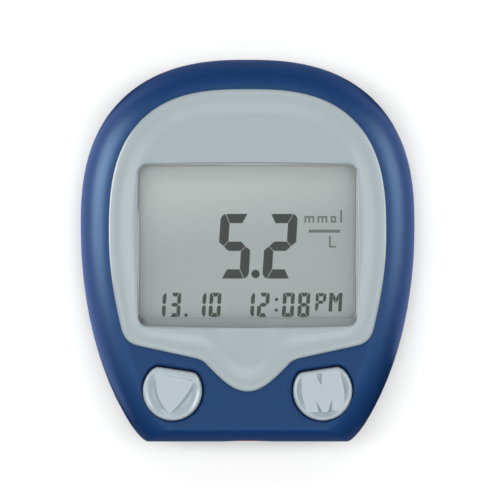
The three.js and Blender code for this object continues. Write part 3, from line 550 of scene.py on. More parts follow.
outer = plate_outline()
plate_rings = [(outer, recess)]
for k in range(edge_levels + 1):
    angle = math.pi / 2 * k / edge_levels
    plate_rings.append((
        drawn_in(outer, edge_run * (1 - math.cos(angle))),
        plate_top - edge_rise * (1 - math.sin(angle)),
    ))
inner_edge = plate_rings[-1][0]
centre = np.array([0, window_y])
window_size = np.array([window_half, window_height / 2])
offset = inner_edge - centre
near_window = centre + offset / np.abs(offset / (window_size - window_overlap)).max(axis=1)[:, None]
span = np.linalg.norm(near_window - inner_edge, axis=1)


def swell(distance):
    """Height in mm of the plate's face over its edge: a shallow dip, then a broad low ridge."""
    dip = dip_depth * np.exp(-((distance - dip_place) / dip_width) ** 2)
    ridge = ridge_height * np.exp(-((distance - ridge_place) / ridge_width) ** 2)
    return ridge - dip


for k in range(1, swell_levels + 1):
    share = (k / swell_levels) ** swell_spread
    points = inner_edge + (near_window - inner_edge) * share
    heights = plate_top + swell(span * share) - swell(0.0)
    plate_rings.append((points, heights))
face_plate = loft("face_plate_fine", plate_rings)


def window_ring(grow, side_steps=10):
    """The window's outline grown by a margin in mm, each side bowed out a little."""
    corners = rounded_rectangle(
        0, window_y, 2 * (window_half + grow), window_height + 2 * grow, bowed_corner + grow
    ).reshape(4, -1, 2)
    rows = []
    for corner, following in zip(corners, np.roll(corners, -1, axis=0)):
        rows += [corner, np.linspace(corner[-1], following[0], side_steps + 1)[1:-1]]
    ring = np.vstack(rows) - centre
    bow = 1 - window_bow / window_size * (ring / window_size)[:, ::-1] ** 2
    return ring * bow + centre


window_cut = [(window_ring(0), recess - overrun), (window_ring(0), plate_top - window_bevel)]
for k in range(1, bevel_levels + 1):
    angle = math.pi / 2 * k / bevel_levels
    window_cut.append((
        window_ring(window_bevel * (1 - math.cos(angle))),
        plate_top - window_bevel * (1 - math.sin(angle)) + clear_of_face,
    ))
window_cut.append((window_ring(window_bevel), plate_top + overrun))
cut(
    face_plate,
    loft("window", window_cut),
    prism("pocket", window_ring(lens_margin + lens_clearance), recess - overrun, lens_top),
)
# Satin ABS from a polished mould: an even pale blue-grey with a soft sheen along its edges.
pale_abs = textured_plastic("pale_satin_abs", "#99a4a8", 0.23, 0.5, 0.003)
finish_mesh(face_plate, pale_abs)
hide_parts("face_plate")
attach(face_plate, "meter_body")


# Display: a reflective LCD between two glasses, behind a clear acrylic lens that foam tape holds to
# the plate. Its lit segments are dark olive shapes, drawn here as thin slabs on the polariser.

film_top, ink_rise = 14.6, 0.012
digit_slant, segment_gap = 0.0625, 0.09
patterns = {
    "0": "abcdef", "1": "bc", "2": "abdeg", "3": "abcdg", "5": "acdfg", "8": "abcdefg", "P": "abefg",
}


def counter_clockwise(outline):
    following = np.roll(outline, -1, axis=0)
    area = (outline[:, 0] * following[:, 1] - outline[:, 1] * following[:, 0]).sum()
    return outline if area > 0 else outline[::-1]


def slabs(name, outlines, low, high):
    """Separate flat pieces with the given outlines in one mesh."""
    mesh = bmesh.new()
    for outline in outlines:
        points = counter_clockwise(outline)
        rings = [[mesh.verts.new((x * mm, y * mm, z * mm)) for x, y in points] for z in (low, high)]
        mesh.faces.new(rings[0][::-1])
        mesh.faces.new(rings[1])
        for k in range(len(points)):
            following = (k + 1) % len(points)
            mesh.faces.new((rings[0][k], rings[0][following], rings[1][following], rings[1][k]))
    data = bpy.data.meshes.new(name)
    mesh.to_mesh(data)
    mesh.free()
    return link_mesh(name, data)


def slanted(shape, x, y):
    """A shape about its own centre, leaning a little and moved to a place."""
    return shape + np.column_stack([digit_slant * shape[:, 1], 0 * shape[:, 1]]) + (x, y)


def digit(character, x, y, width, height, stroke):
    """Outlines of a seven-segment digit's lit segments."""
    w, h, t = width / 2, height / 2, stroke
    bar = np.array([(-w + t / 2, h), (-w + t, h - t), (w - t, h - t), (w - t / 2, h)])
    upright = np.array([
        (-w + t / 2, h), (-w + t / 5, h - t / 6), (-w, h - t / 2), (-w, 0.4 * t), (-w + t / 2, 0),
        (-w + t, t / 2), (-w + t, h - t),
    ])
    middle = np.array([
        (-w + t / 2, 0), (-w + t, -t / 2), (w - t, -t / 2),
        (w - t / 2, 0), (w - t, t / 2), (-w + t, t / 2),
    ])
    segments = {
        "a": bar, "d": bar * (1, -1), "g": middle,
        "f": upright, "b": upright * (-1, 1), "e": upright * (1, -1), "c": upright * (-1, -1),
    }
    return [
        slanted(drawn_in(counter_clockwise(segments[key]), segment_gap / 2), x, y)
        for key in patterns[character]
    ]


def rectangle(left, right, low, high):
    return np.array([(left, low), (right, low), (right, high), (left, high)])


def letter_m(x, y, width, height, stroke):
    """Outlines of a capital M for the time's PM mark."""
    w, h = width / 2, height / 2
    slope_start, slope_middle = -w + 1.05 * stroke, -0.03
    upright = rectangle(-w, -w + stroke, -h, h)
    slope = np.array([
        (slope_start, h), (slope_start, h - 1.9 * stroke),
        (slope_middle, -0.4 * stroke), (slope_middle, 1.3 * stroke),
    ])
    return [slanted(shape * (side, 1), x, y) for shape in (upright, slope) for side in (1, -1)]


reading_y, reading_size, reading_stroke = 0.77, (5.8, 11.75), 1.77
clock_y, clock_size, clock_stroke = -9.78, (2.22, 4.45), 0.78
reading = digit("5", -2.32, reading_y, *reading_size, reading_stroke)
reading += digit("2", 5.86, reading_y, *reading_size, reading_stroke)
reading.append(circle(1.44, -4.22, 0.76, 40))
clock = []
for character, x in zip("13101208", (-15.75, -13.11, -8.56, -5.86, 0.18, 2.83, 7.35, 10.14)):
    clock += digit(character, x, clock_y, *clock_size, clock_stroke)
clock += [circle(x, y, 0.31, 24) for x, y in ((-11.1, -11.62), (5.22, -8.83), (5.15, -10.74))]
pm_y, pm_height = -9.31, 3.36
clock += digit("P", 13.18, pm_y, 2.0, pm_height, 0.68)
clock += letter_m(15.86, pm_y, 2.34, pm_height, 0.62)

# The unit, mmol over L, is built from bars of one stroke that stand a hair apart.
unit_stroke, unit_height, unit_base, bar_gap = 0.34, 1.2, 5.01, 0.02
unit_top = unit_base + unit_height
bar_top, stem_top = unit_base + unit_stroke, unit_top - unit_stroke - bar_gap
m_lefts, m_stems = (10.23, 12.57), (0, 0.735, 1.47)
o_left, o_right, l_left, l_height = 14.97, 15.98, 16.69, 2.29
litre_left, litre_low, litre_top = 14.66, 0.52, 2.61
litre_stem = litre_left + unit_stroke
units = [
    rectangle(11.01, 16.68, 3.21, 3.77),
    rectangle(litre_left, litre_stem, litre_low, litre_top),
    rectangle(litre_stem + bar_gap, o_right, litre_low, litre_low + unit_stroke),
]
for left in m_lefts:
    units.append(rectangle(left, left + m_stems[-1] + unit_stroke, unit_top - unit_stroke, unit_top))
    units += [
        rectangle(left + stem, left + stem + unit_stroke, unit_base, stem_top) for stem in m_stems
    ]
for low in (unit_base, unit_top - unit_stroke):
    units.append(rectangle(o_left, o_right, low, low + unit_stroke))
for left in (o_left, o_right - unit_stroke):
    units.append(rectangle(left, left + unit_stroke, bar_top + bar_gap, stem_top))
units.append(rectangle(l_left, l_left + unit_stroke, unit_base, unit_base + l_height))

# Liquid crystal turned dark: near-black olive with faint flecks, and no shine of its own because
# it lies under glass. The unit is thinner and so looks greyer.
fleck_size, fleck_gain = 0.6, 1.12
for name, outlines, colour in (
    ("reading_segments", reading, "#0c1006"),
    ("clock_segments", clock, "#1b2114"),
    ("unit_marks", units, "#525952"),
):
    ink, ink_shader = new_material(name + "_ink", colour, 0.45, Specular_IOR_Level=0.0)
    fleck = add_node(ink, "ShaderNodeTexNoise", [
        ("Vector", object_coordinates(ink)),
        ("Scale", 1 / (fleck_size * mm)),
    ])
    shade = add_node(ink, "ShaderNodeMix", [
        (0, fleck.outputs["Fac"]),
        (6, linear(colour)),
        (7, tuple(fleck_gain * c for c in linear(colour)[:3]) + (1.0,)),
    ], data_type="RGBA")
    ink.node_tree.links.new(shade.outputs[2], ink_shader.inputs["Base Color"])
    marks = slabs(name, outlines, film_top, film_top + ink_rise)
    marks.data.materials.append(ink)
    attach(marks, "meter_body")

# Polarising film over a grey reflector: flat grey-green, with painted light and shade on it, paler at
# its upper left and darker towards its lower right, where the fall per mm across and down gives the
# share of its darker, shaded tone.
painted_light_across, painted_light_up, painted_light_start, painted_light_end = 0.011, -0.0625, -1.01, -0.01
film, film_shader = new_material("lcd_film", "#a3aba8", 0.55)
film_painted_light = add_node(film, "ShaderNodeVectorMath", [
    (0, object_coordinates(film)),
    (1, (painted_light_across / mm, painted_light_up / mm, 0)),
], operation="DOT_PRODUCT")
film_painted_light_share = add_node(film, "ShaderNodeMapRange", [
    ("Value", film_painted_light.outputs["Value"]),
    ("From Min", painted_light_start),
    ("From Max", painted_light_end),
], interpolation_type="SMOOTHSTEP")
# Painted light and shade: the two tones are the film lit and the film shaded, not two colours of its
# own.
film_painted_light_tone = add_node(film, "ShaderNodeMix", [
    (0, film_painted_light_share.outputs["Result"]),
    (6, linear("#a5adaa")),
    (7, linear("#8d9594")),
], data_type="RGBA")
film.node_tree.links.new(film_painted_light_tone.outputs[2], film_shader.inputs["Base Color"])
add_grain(film, film_shader, 0.12, 0.002)

lens_low, lens_edge = 16.4, 0.12
lens_outline = window_ring(lens_margin)
lens = loft("display_lens_fine", [
    (drawn_in(lens_outline, lens_edge), lens_low),
    (lens_outline, lens_low + lens_edge),
    (lens_outline, lens_top - lens_edge),
    (drawn_in(lens_outline, lens_edge), lens_top),
])
# Polished acrylic: almost unseen from the front, with a faint haze and slightly wavy reflections.
acrylic, acrylic_shader = new_material("clear_acrylic", "#c9d2d1", 0.12, Alpha=0.05)
add_grain(acrylic, acrylic_shader, 6, 0.01)
finish_mesh(lens, acrylic)
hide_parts("display_lens")
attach(lens, "meter_body")


# Keys: pale ABS caps on silicone domes. The face of each sinks from a beaded rim into a moulded well,
# where its sign is left standing: a downward triangle to scroll, a bold M for the memory. The ears
# and the stem under each cap never show and are not drawn.

key_top, key_low = 19.0, 13.9
key_edge_run, key_edge_drop, key_crown = 0.45, 0.6, 0.2
rim_width = 0.1
bead_height, bead_place, bead_width = 0.14, 0.42, 0.2
key_face_levels, key_face_end = 90, 0.99


def signed_distance(points, outline):
    """Distance in mm from each point to a closed outline, negative inside it."""
    following = np.roll(outline, -1, axis=0)
    edge = following - outline
    reach = points[:, None, :] - outline[None]
    share = np.clip((reach * edge).sum(2) / (edge ** 2).sum(1), 0, 1)
    nearest = np.linalg.norm(reach - share[..., None] * edge, axis=2).min(1)
    x, y = points[:, :1], points[:, 1:]
    spans = (outline[:, 1] > y) != (following[:, 1] > y)
    rise = np.where(edge[:, 1] == 0, 1, edge[:, 1])
    crossing = outline[:, 0] + edge[:, 0] * (y - outline[:, 1]) / rise
    inside = (spans & (x < crossing)).sum(1) % 2 == 1
    return np.where(inside, -nearest, nearest)


def smooth_step(value):
    value = np.clip(value, 0, 1)
    return value * value * (3 - 2 * value)


def bead(inset):
    """Height in mm of the rim's bead, at a distance inside the key's outline."""
    return bead_height * np.exp(-((inset - bead_place) / bead_width) ** 2)


def key_cap(name, side, sign, corner, depth, wall_run, well_run):
    """A key whose face sinks over well_run mm from its rim and rises over wall_run mm to its sign."""
    rings = [(key_outline(side, 0), key_low)]
    for k in range(edge_levels + 1):
        angle = math.pi / 2 * k / edge_levels
        inset = key_edge_run * (1 - math.cos(angle))
        drop = key_crown + key_edge_drop * (1 - math.sin(angle))
        rings.append((key_outline(side, inset), key_top - drop + bead(inset)))
    face_edge = rings[-1][0]
    rim = key_outline(side, key_edge_run + rim_width)
    for k in range(1, key_face_levels + 1):
        share = 1 - key_face_end * k / key_face_levels
        points = face_edge * share
        crown = key_top - key_crown * (1 - math.sin(math.pi / 2 * (1 - share)))
        crown = crown + bead(-signed_distance(points, rings[0][0]))
        outside_sign = smooth_step((signed_distance(points, sign) - corner) / wall_run)
        inside_rim = smooth_step(-signed_distance(points, rim) / well_run)
        rings.append((points, crown - depth * outside_sign * inside_rim))
    cap = loft(name, rings)
    cap.data.transform(Matrix.Translation((side * key_x * mm, key_y * mm, 0)))
    return cap


triangle = np.vstack([
    bezier([(-2.6, 2.8), (0.4, 2.3), (3.5, 1.5)], 6)[:-1],
    bezier([(3.5, 1.5), (1.9, -1.5), (-0.5, -3.65)], 10)[:-1],
    bezier([(-0.5, -3.65), (-3.0, -1.2), (-2.6, 2.8)], 10)[:-1],
])
letter = np.vstack([
    bezier([(-3.55, 2.5), (-4.15, -0.8), (-2.7, -3.6)], 8),
    [(-0.86, -3.7), (-1.55, -1.1), (0.03, -3.7), (0.9, -3.7), (1.7, -0.8), (1.75, -3.5)],
    bezier([(3.5, -3.1), (4.4, -0.7), (2.8, 3.6)], 8),
    [(-0.05, 3.4), (-0.1, 1.3), (-0.3, 0.95), (-0.8, 1.7), (-1.35, 3.2)],
])
# Smooth ABS: a touch paler and glossier than the plate, so that rims and signs catch the light.
key_abs = textured_plastic("pale_key_abs", "#a5b1b7", 0.3, 0.4, 0.003)
# After its sign, each row gives in mm the sign's rounding, the well's depth and its two slopes.
for name, node, body, side, sign, corner, depth, wall_run, well_run in (
    ("scroll_key_cap", "scroll_button", "scroll_key", -1, triangle, 0.2, 1.25, 0.65, 1.5),
    ("memory_key_cap", "memory_button", "memory_key", 1, letter, 0.0, 0.8, 0.45, 0.65),
):
    cap = key_cap(name, side, sign, corner, depth, wall_run, well_run)
    finish_mesh(cap, key_abs, crease=50)
    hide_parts(node)
    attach(cap, body)


# Strip port: an orange moulded mouth in the bottom edge, flared round its slot so that a strip
# slips in, held behind the wall by its flange.

flange_reach, flange_thickness, flange_inset, flange_gap = 1.6, 0.5, 0.5, 0.2
slot_mouth, mouth_depth, mouth_clear = 0.4, 1.2, 0.02
slot_corner, slot_corner_steps = 0.2, 6
board_low, board_top, board_clearance = 7.6, 8.6, 0.1
flange_top = slot_middle + port_height / 2
flange_low = slot_middle - port_height / 2 + flange_inset
flange_y = bottom_y + bottom_roll_share * front_roll_at(flange_top) + wall + flange_gap
port_back = flange_y + flange_thickness
port_front = bottom_y + port_inset

port = across_bottom("strip_port_fine", port_outline(0), port_front, port_back)
flange_half = port_width / 2 + flange_reach
join(port, block("flange", -flange_half, flange_half, flange_y, port_back, flange_low, flange_top))
mouth_rings = []
for share in (0, 0.25, 0.5, 0.75, 1):
    grow = slot_mouth * share ** 2
    mouth_outline = rounded_rectangle(
        0, slot_middle, slot_width + 2 * grow, slot_height + 2 * grow, slot_corner + grow,
        slot_corner_steps)
    mouth_rings.append((mouth_outline, -port_front - mouth_depth * (1 - share) + mouth_clear * share))
mouth = loft("mouth", mouth_rings)
mouth.data.transform(Matrix.Rotation(math.pi / 2, 4, "X"))
cut(
    port,
    block("slot", -slot_width / 2, slot_width / 2, port_front - overrun, port_back + overrun,
          slot_z, slot_z + slot_height),
    mouth,
    block("room", -flange_half - overrun, flange_half + overrun, flange_y - overrun,
          port_back + overrun, board_low - overrun, board_top + board_clearance),
)
# Satin coloured plastic: a warm line in the blue edge that shows where the strip goes in.
orange_plastic = textured_plastic("orange_plastic", "#c8502c", 0.42, 0.3, 0.004)
finish_mesh(port, orange_plastic, bevel=0.06)
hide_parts("strip_port")
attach(port, "meter_body")


# Rear cover: the same blue ABS as the front, closed against it at the parting line, with the
# battery bay, the rails of its cover and two screw wells moulded in.

back_wall, rear_cavity_levels = 1.6, 6
lip_height, lip_thickness = 1.2, 0.85
cell_radius, cell_x, cell_y = 10.0, 10.3, -12.4
bay_clearance, bay_wall, bay_foot = 0.3, 1.0, 3.0
cover_recess, cover_thickness, slide_gap = 0.2, 1.4, 0.3
rail_lip, rail_reach, rail_length = 0.7, 0.9, 6.3
end_tongue, tongue_inset = 0.9, 3.9
cover_wrap, cover_wrap_reach = 3.2, 8.0
bay_roof, tray_top, tray_skin = 6.0, 7.0, 1.2
screw_places = [(-18.5, 22.55), (18.5, 22.55)]
hidden_screw = (0, -22.5)
screw_head, screw_shank, screw_clearance, boss_wall = 1.9, 1.0, 0.3, 1.2
shank_sides, well_sides = 32, 64
cover_top = cover_recess + cover_thickness
tray = cover_top + slide_gap
bay_half = cell_x + cell_radius + bay_clearance
bay_top_y = cell_y + cell_radius + bay_clearance
bay_foot_y = cell_y - cell_radius - bay_foot
cover_half = bay_half + bay_clearance
cover_end_y = bay_top_y + bay_wall
shoulder_y = cover_end_y - rail_length
wrap_y = bottom_y + cover_wrap_reach
rail_half = cover_half + rail_reach


def rear_outer(name, inset, levels=22):
    """The rear cover's outer form, drawn in by an inset."""
    rings = []
    for k in range(levels + 1):
        z = (parting - seam_chamfer) * (1 - math.sin(math.pi / 2 * (1 - k / levels)))
        rings.append((body_outline(back_roll_at(z), inset), z))
    rings.append((body_outline(0, inset + seam_chamfer), parting))
    return loft(name, rings)


rear_shell = rear_outer("rear_shell", 0)
cavity_rings = []
for k in range(rear_cavity_levels + 1):
    z = back_wall + (parting - back_wall) * k / rear_cavity_levels
    cavity_rings.append((body_outline(back_roll_at(z), wall, *inner_steps), z))
cavity_rings.append((body_outline(0, wall, *inner_steps), parting + overrun))
cavity = loft("cavity", cavity_rings)
skin_top = tray + tray_skin
skin_half = rail_half + slide_gap + tray_skin
skin_end = cover_end_y + end_tongue + slide_gap + tray_skin
low_y = bottom_y - overrun
cut(cavity, block("skin", -skin_half, skin_half, low_y, skin_end, 0, skin_top))
cut(rear_shell, cavity)
bay = block(
    "bay", -bay_half - bay_wall, bay_half + bay_wall, bay_foot_y - bay_wall, cover_end_y,
    skin_top - tray_skin / 2, tray_top)
lip = prism("lip", body_outline(0, wall - lip_thickness), parting - lip_height, parting + lip_height)
cut(lip, prism("lip_room", body_outline(0, wall), parting - 2 * lip_height, parting + 2 * lip_height))
bosses = [
    disc("boss", x, y, screw_head + screw_clearance + boss_wall, back_wall / 2, tray_top)
    for x, y in screw_places
]
join(rear_shell, bay, lip, *bosses)
wide_half, narrow_half = rail_half + slide_gap, cover_half + slide_gap
wrap_room = block(
    "wrap_room", -wide_half, wide_half, low_y, wrap_y + slide_gap, cover_top, cover_wrap + slide_gap)
cut(wrap_room, rear_outer("wrap_core", cover_recess + cover_thickness + slide_gap))
tongue_half = cover_half - tongue_inset
cut(
    rear_shell,
    block("cells", -bay_half, bay_half, bay_foot_y, bay_top_y, tray - overrun, bay_roof),
    block("wide", -wide_half, wide_half, low_y, shoulder_y + slide_gap, -overrun, rail_lip),
    block("narrow", -narrow_half, narrow_half, low_y, cover_end_y + slide_gap, -overrun, rail_lip),
    block("groove", -wide_half, wide_half, low_y, cover_end_y + slide_gap, rail_lip, tray),
    block("tongue", -tongue_half - slide_gap, tongue_half + slide_gap, low_y,
          cover_end_y + end_tongue + slide_gap, rail_lip, tray),
    wrap_room,
    port_opening(),
)
for x, y in (*screw_places, hidden_screw):
    shank_radius = screw_shank + screw_clearance
    cut(rear_shell, disc("shank", x, y, shank_radius, -overrun, tray_top + overrun, shank_sides))
for x, y in screw_places:
    cut(rear_shell, disc("well", x, y, screw_head + screw_clearance, -overrun, bay_roof, well_sides))
finish_mesh(rear_shell, blue_abs)
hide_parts("rear_cover")
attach(rear_shell, "meter_body")


# Battery cover: the same blue ABS, sliding down out of its rails, with a ribbed thumb hollow and
# a moulded arrow that shows which way it slides.

grip_length, grip_width, grip_depth, grip_y = 15.0, 7.6, 0.55, shoulder_y - 9.2
grip_flat, grip_end_steps = 0.01, 20
grip_slopes = ((0.12, 0.6), (0.5, 1.0))
rib_count, rib_width, rib_height = 5, 0.6, 1.0
arrow_y, arrow_width, arrow_height, arrow_depth = -25.2, 3.6, 2.6, 0.25

battery_door = rear_outer("battery_door_fine", cover_recess)
wrap = rear_outer("wrap", cover_recess)
wrap_low = cover_top - cover_thickness / 2
wrap_box = block("wrap_box", -rail_half, rail_half, low_y, wrap_y, wrap_low, cover_wrap)
combined(wrap, [wrap_box], "INTERSECT")
cut(wrap, rear_outer("wrap_core", cover_recess + cover_thickness))
door_box = block("door_box", -rail_half, rail_half, low_y, cover_end_y, cover_recess, cover_top)
combined(battery_door, [door_box], "INTERSECT")
rail_floor = rail_lip + slide_gap
ledge_half, ledge_end = rail_half + overrun, cover_end_y + overrun
cut(
    battery_door,
    block("ledge", -ledge_half, -cover_half, shoulder_y, ledge_end, -overrun, rail_floor),
    block("ledge", cover_half, ledge_half, shoulder_y, ledge_end, -overrun, rail_floor),
)
join(
    battery_door,
    block("end_tongue", -tongue_half, tongue_half, cover_end_y - end_tongue, cover_end_y + end_tongue,
          rail_floor, cover_top),
    wrap,
)
grip_end = grip_width / 2 - grip_flat
grip = rounded_rectangle(0, grip_y, grip_length, grip_width, grip_end, grip_end_steps)
grip_rings = [(grip, -overrun), (grip, cover_recess)]
for inset, share in grip_slopes:
    grip_rings.append((drawn_in(grip, inset), cover_recess + grip_depth * share))
grip_hollow = loft("grip", grip_rings)


def new_tree(name, *sizes):
    """A geometry tree with a named input for each size, and those inputs by name."""
    tree = bpy.data.node_groups.new(name, "GeometryNodeTree")
    tree.interface.new_socket("Geometry", in_out="OUTPUT", socket_type="NodeSocketGeometry")
    tree.interface.new_socket("Places", in_out="INPUT", socket_type="NodeSocketGeometry")
    for size in sizes:
        kind = "NodeSocketInt" if size.endswith("Count") else "NodeSocketFloat"
        tree.interface.new_socket(size, in_out="INPUT", socket_type=kind)
    return tree, tree.nodes.new("NodeGroupInput").outputs


def grown(name, tree, places, material, sizes):
    """The mesh that a tree grows from places in mm, with its sizes set by their names."""
    mesh = bpy.data.meshes.new(name)
    mesh.from_pydata([tuple(value * mm for value in place) for place in places], [], [])
    piece = link_mesh(name, mesh)
    piece.data.materials.append(material)
    modifier = piece.modifiers.new("tree", "NODES")
    modifier.node_group = tree
    for socket in tree.interface.items_tree:
        if socket.in_out == "INPUT" and socket.name in sizes:
            modifier[socket.identifier] = sizes[socket.name]
    return applied(piece)


# Each rib reaches from end to end of the hollow: its length is that of the chord at its place.
rib_tree, rib_size = new_tree(
    "grip_ribs", "Rib Count", "Straight", "End Radius", "Rib Width", "Rib Height")
rib_point = add_node(rib_tree, "ShaderNodeSeparateXYZ", [
    (0, add_node(rib_tree, "GeometryNodeInputPosition").outputs[0]),
])
rib_value = {socket.name: socket for socket in rib_size}
rib_value["place"] = rib_point.outputs["Y"]
for result, operation, *terms in (
    ("spaces", "ADD", "Rib Count", 1.0),
    ("span", "MULTIPLY", "End Radius", 2.0),
    ("pitch", "DIVIDE", "span", "spaces"),
    ("start", "SUBTRACT", "pitch", "End Radius"),
    ("share", "DIVIDE", "place", "End Radius"),
    ("angle", "ARCSINE", "share"),
    ("end share", "COSINE", "angle"),
    ("ends", "MULTIPLY", "end share", "span"),
    ("length", "ADD", "ends", "Straight"),
):
    rib_math = add_node(rib_tree, "ShaderNodeMath", [
        (place, rib_value.get(term, term)) for place, term in enumerate(terms)
    ], operation=operation)
    rib_value[result] = rib_math.outputs[0]
rib_first = add_node(rib_tree, "ShaderNodeCombineXYZ", [("Y", rib_value["start"])])
rib_step = add_node(rib_tree, "ShaderNodeCombineXYZ", [("Y", rib_value["pitch"])])
rib_line = add_node(rib_tree, "GeometryNodeMeshLine", [
    ("Count", rib_size["Rib Count"]),
    ("Start Location", rib_first.outputs[0]),
    ("Offset", rib_step.outputs[0]),
])
rib_scale = add_node(rib_tree, "ShaderNodeCombineXYZ", [
    ("X", rib_value["length"]),
    ("Y", rib_size["Rib Width"]),
    ("Z", rib_size["Rib Height"]),
])
ribs = add_node(rib_tree, "GeometryNodeInstanceOnPoints", [
    ("Points", rib_line.outputs["Mesh"]),
    ("Instance", add_node(rib_tree, "GeometryNodeMeshCube").outputs["Mesh"]),
    ("Scale", rib_scale.outputs[0]),
])
rib_rows = add_node(rib_tree, "GeometryNodeInstanceOnPoints", [
    ("Points", rib_size["Places"]),
    ("Instance", ribs.outputs[0]),
])
loose_ribs = add_node(rib_tree, "GeometryNodeRealizeInstances", [(0, rib_rows.outputs[0])])
blue_ribs = add_node(rib_tree, "GeometryNodeSetMaterial", [
    ("Geometry", loose_ribs.outputs[0]),
    ("Material", blue_abs),
])
add_node(rib_tree, "NodeGroupOutput", [("Geometry", blue_ribs.outputs[0])])
grip_place = (0, grip_y, cover_recess + rib_height / 2)
grip_ribs = grown("grip_ribs", rib_tree, [grip_place], blue_abs, {
    "Rib Count": rib_count,
    "Straight": (grip_length - grip_width) * mm,
    "End Radius": grip_width / 2 * mm,
    "Rib Width": rib_width * mm,
    "Rib Height": rib_height * mm,
})
cut(grip_hollow, grip_ribs)
arrow = np.array([
    (-arrow_width / 2, arrow_y + arrow_height / 2),
    (0, arrow_y - arrow_height / 2),
    (arrow_width / 2, arrow_y + arrow_height / 2),
])
cut(battery_door, grip_hollow, prism("arrow", arrow, -overrun, cover_recess + arrow_depth))
finish_mesh(battery_door, blue_abs, bevel=0.1)
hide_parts("battery_cover")
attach(battery_door, "battery_door")


# Screws: plated steel, cold-headed with a pan head and a cross recess, with a rolled thread. Three
# hold the rear cover to bosses of the front cover, and two hold the board.

head_levels, head_sides, head_round, head_top_share = 14, 48, 0.4, 0.55
recess_shares = (1.16, 0.26, 0.8)
core_share, core_levels, core_sides, core_overlap = 0.8, 20, 32, 0.2
taper_start, tip_share = 0.88, 0.4
turn_steps, thread_share, thread_sides = 24, 0.22, 4
thread_pitch, thread_start, thread_short = 0.7, 0.3, 1.2
board_screw_x, board_screw_y = 24.9, 5.95

# Zinc-plated steel: grey metal with a cloudy, uneven gloss.
steel_gloss_low, steel_gloss_high = 0.25, 0.45
plated_steel, plated_shader = new_material("plated_steel", "#a9abac", 0.32, Metallic=1.0)
steel_rough = add_node(plated_steel, "ShaderNodeMapRange", [
    ("Value", add_grain(plated_steel, plated_shader, 0.5, 0.004, detail=4.0)),
    ("To Min", steel_gloss_low),
    ("To Max", steel_gloss_high),
])
plated_steel.node_tree.links.new(steel_rough.outputs["Result"], plated_shader.inputs["Roughness"])

screw_tree, screw_size = new_tree(
    "screws", "Head Radius", "Head Height", "Shank Radius", "Length", "Pitch")
screw_value = {socket.name: socket for socket in screw_size}
screw_value["along"] = add_node(screw_tree, "GeometryNodeSplineParameter").outputs["Factor"]
for result, operation, first, second in (
    ("head foot", "MULTIPLY", "Head Height", -1.0),
    ("head curve", "POWER", "along", head_round),
    ("core radius", "MULTIPLY", "Shank Radius", core_share),
    ("thread length", "SUBTRACT", "Length", thread_short * mm),
    ("turns", "DIVIDE", "thread length", "Pitch"),
    ("thread size", "MULTIPLY", "core radius", thread_share),
):
    screw_math = add_node(screw_tree, "ShaderNodeMath", [
        (0, screw_value[first]),
        (1, screw_value.get(second, second)),
    ], operation=operation)
    screw_value[result] = screw_math.outputs[0]
head_foot = add_node(screw_tree, "ShaderNodeCombineXYZ", [("Z", screw_value["head foot"])])
head_line = add_node(screw_tree, "GeometryNodeCurvePrimitiveLine", [
    ("Start", head_foot.outputs[0]),
    ("End", (0, 0, 0)),
])
head_steps = add_node(screw_tree, "GeometryNodeResampleCurve", [
    ("Curve", head_line.outputs[0]),
    ("Count", head_levels),
])
head_ring = add_node(screw_tree, "GeometryNodeCurvePrimitiveCircle", [
    ("Resolution", head_sides),
    ("Radius", screw_size["Head Radius"]),
])
head_share = add_node(screw_tree, "ShaderNodeMapRange", [
    ("Value", screw_value["head curve"]),
    ("To Min", head_top_share),
])
head = add_node(screw_tree, "GeometryNodeCurveToMesh", [
    ("Curve", head_steps.outputs[0]),
    ("Profile Curve", head_ring.outputs[0]),
    ("Scale", head_share.outputs[0]),
    ("Fill Caps", True),
])
recess_size = add_node(screw_tree, "ShaderNodeVectorMath", [
    (0, recess_shares),
    ("Scale", screw_size["Head Radius"]),
], operation="SCALE")
recess_cube = add_node(screw_tree, "GeometryNodeMeshCube")
recess_bars = []
for angle in (0, math.pi / 2):
    recess_bars.append(add_node(screw_tree, "GeometryNodeTransform", [
        ("Geometry", recess_cube.outputs["Mesh"]),
        ("Translation", head_foot.outputs[0]),
        ("Rotation", (0, 0, angle)),
        ("Scale", recess_size.outputs[0]),
    ]))
driven_head = add_node(screw_tree, "GeometryNodeMeshBoolean", [
    ("Mesh 1", head.outputs[0]),
    ("Mesh 2", recess_bars[0].outputs[0]),
    ("Mesh 2", recess_bars[1].outputs[0]),
], operation="DIFFERENCE", solver="EXACT")
tip = add_node(screw_tree, "ShaderNodeCombineXYZ", [("Z", screw_size["Length"])])
core_line = add_node(screw_tree, "GeometryNodeCurvePrimitiveLine", [
    ("Start", (0, 0, -core_overlap * mm)),
    ("End", tip.outputs[0]),
])
core_steps = add_node(screw_tree, "GeometryNodeResampleCurve", [
    ("Curve", core_line.outputs[0]),
    ("Count", core_levels),
])
core_ring = add_node(screw_tree, "GeometryNodeCurvePrimitiveCircle", [
    ("Resolution", core_sides),
    ("Radius", screw_value["core radius"]),
])
core_taper = add_node(screw_tree, "ShaderNodeMapRange", [
    ("Value", screw_value["along"]),
    ("From Min", taper_start),
    ("To Min", 1.0),
    ("To Max", tip_share),
])
core = add_node(screw_tree, "GeometryNodeCurveToMesh", [
    ("Curve", core_steps.outputs[0]),
    ("Profile Curve", core_ring.outputs[0]),
    ("Scale", core_taper.outputs[0]),
    ("Fill Caps", True),
])
thread_line = add_node(screw_tree, "GeometryNodeCurveSpiral", [
    ("Resolution", turn_steps),
    ("Rotations", screw_value["turns"]),
    ("Start Radius", screw_value["core radius"]),
    ("End Radius", screw_value["core radius"]),
    ("Height", screw_value["thread length"]),
])
thread_ring = add_node(screw_tree, "GeometryNodeCurvePrimitiveCircle", [
    ("Resolution", thread_sides),
    ("Radius", screw_value["thread size"]),
])
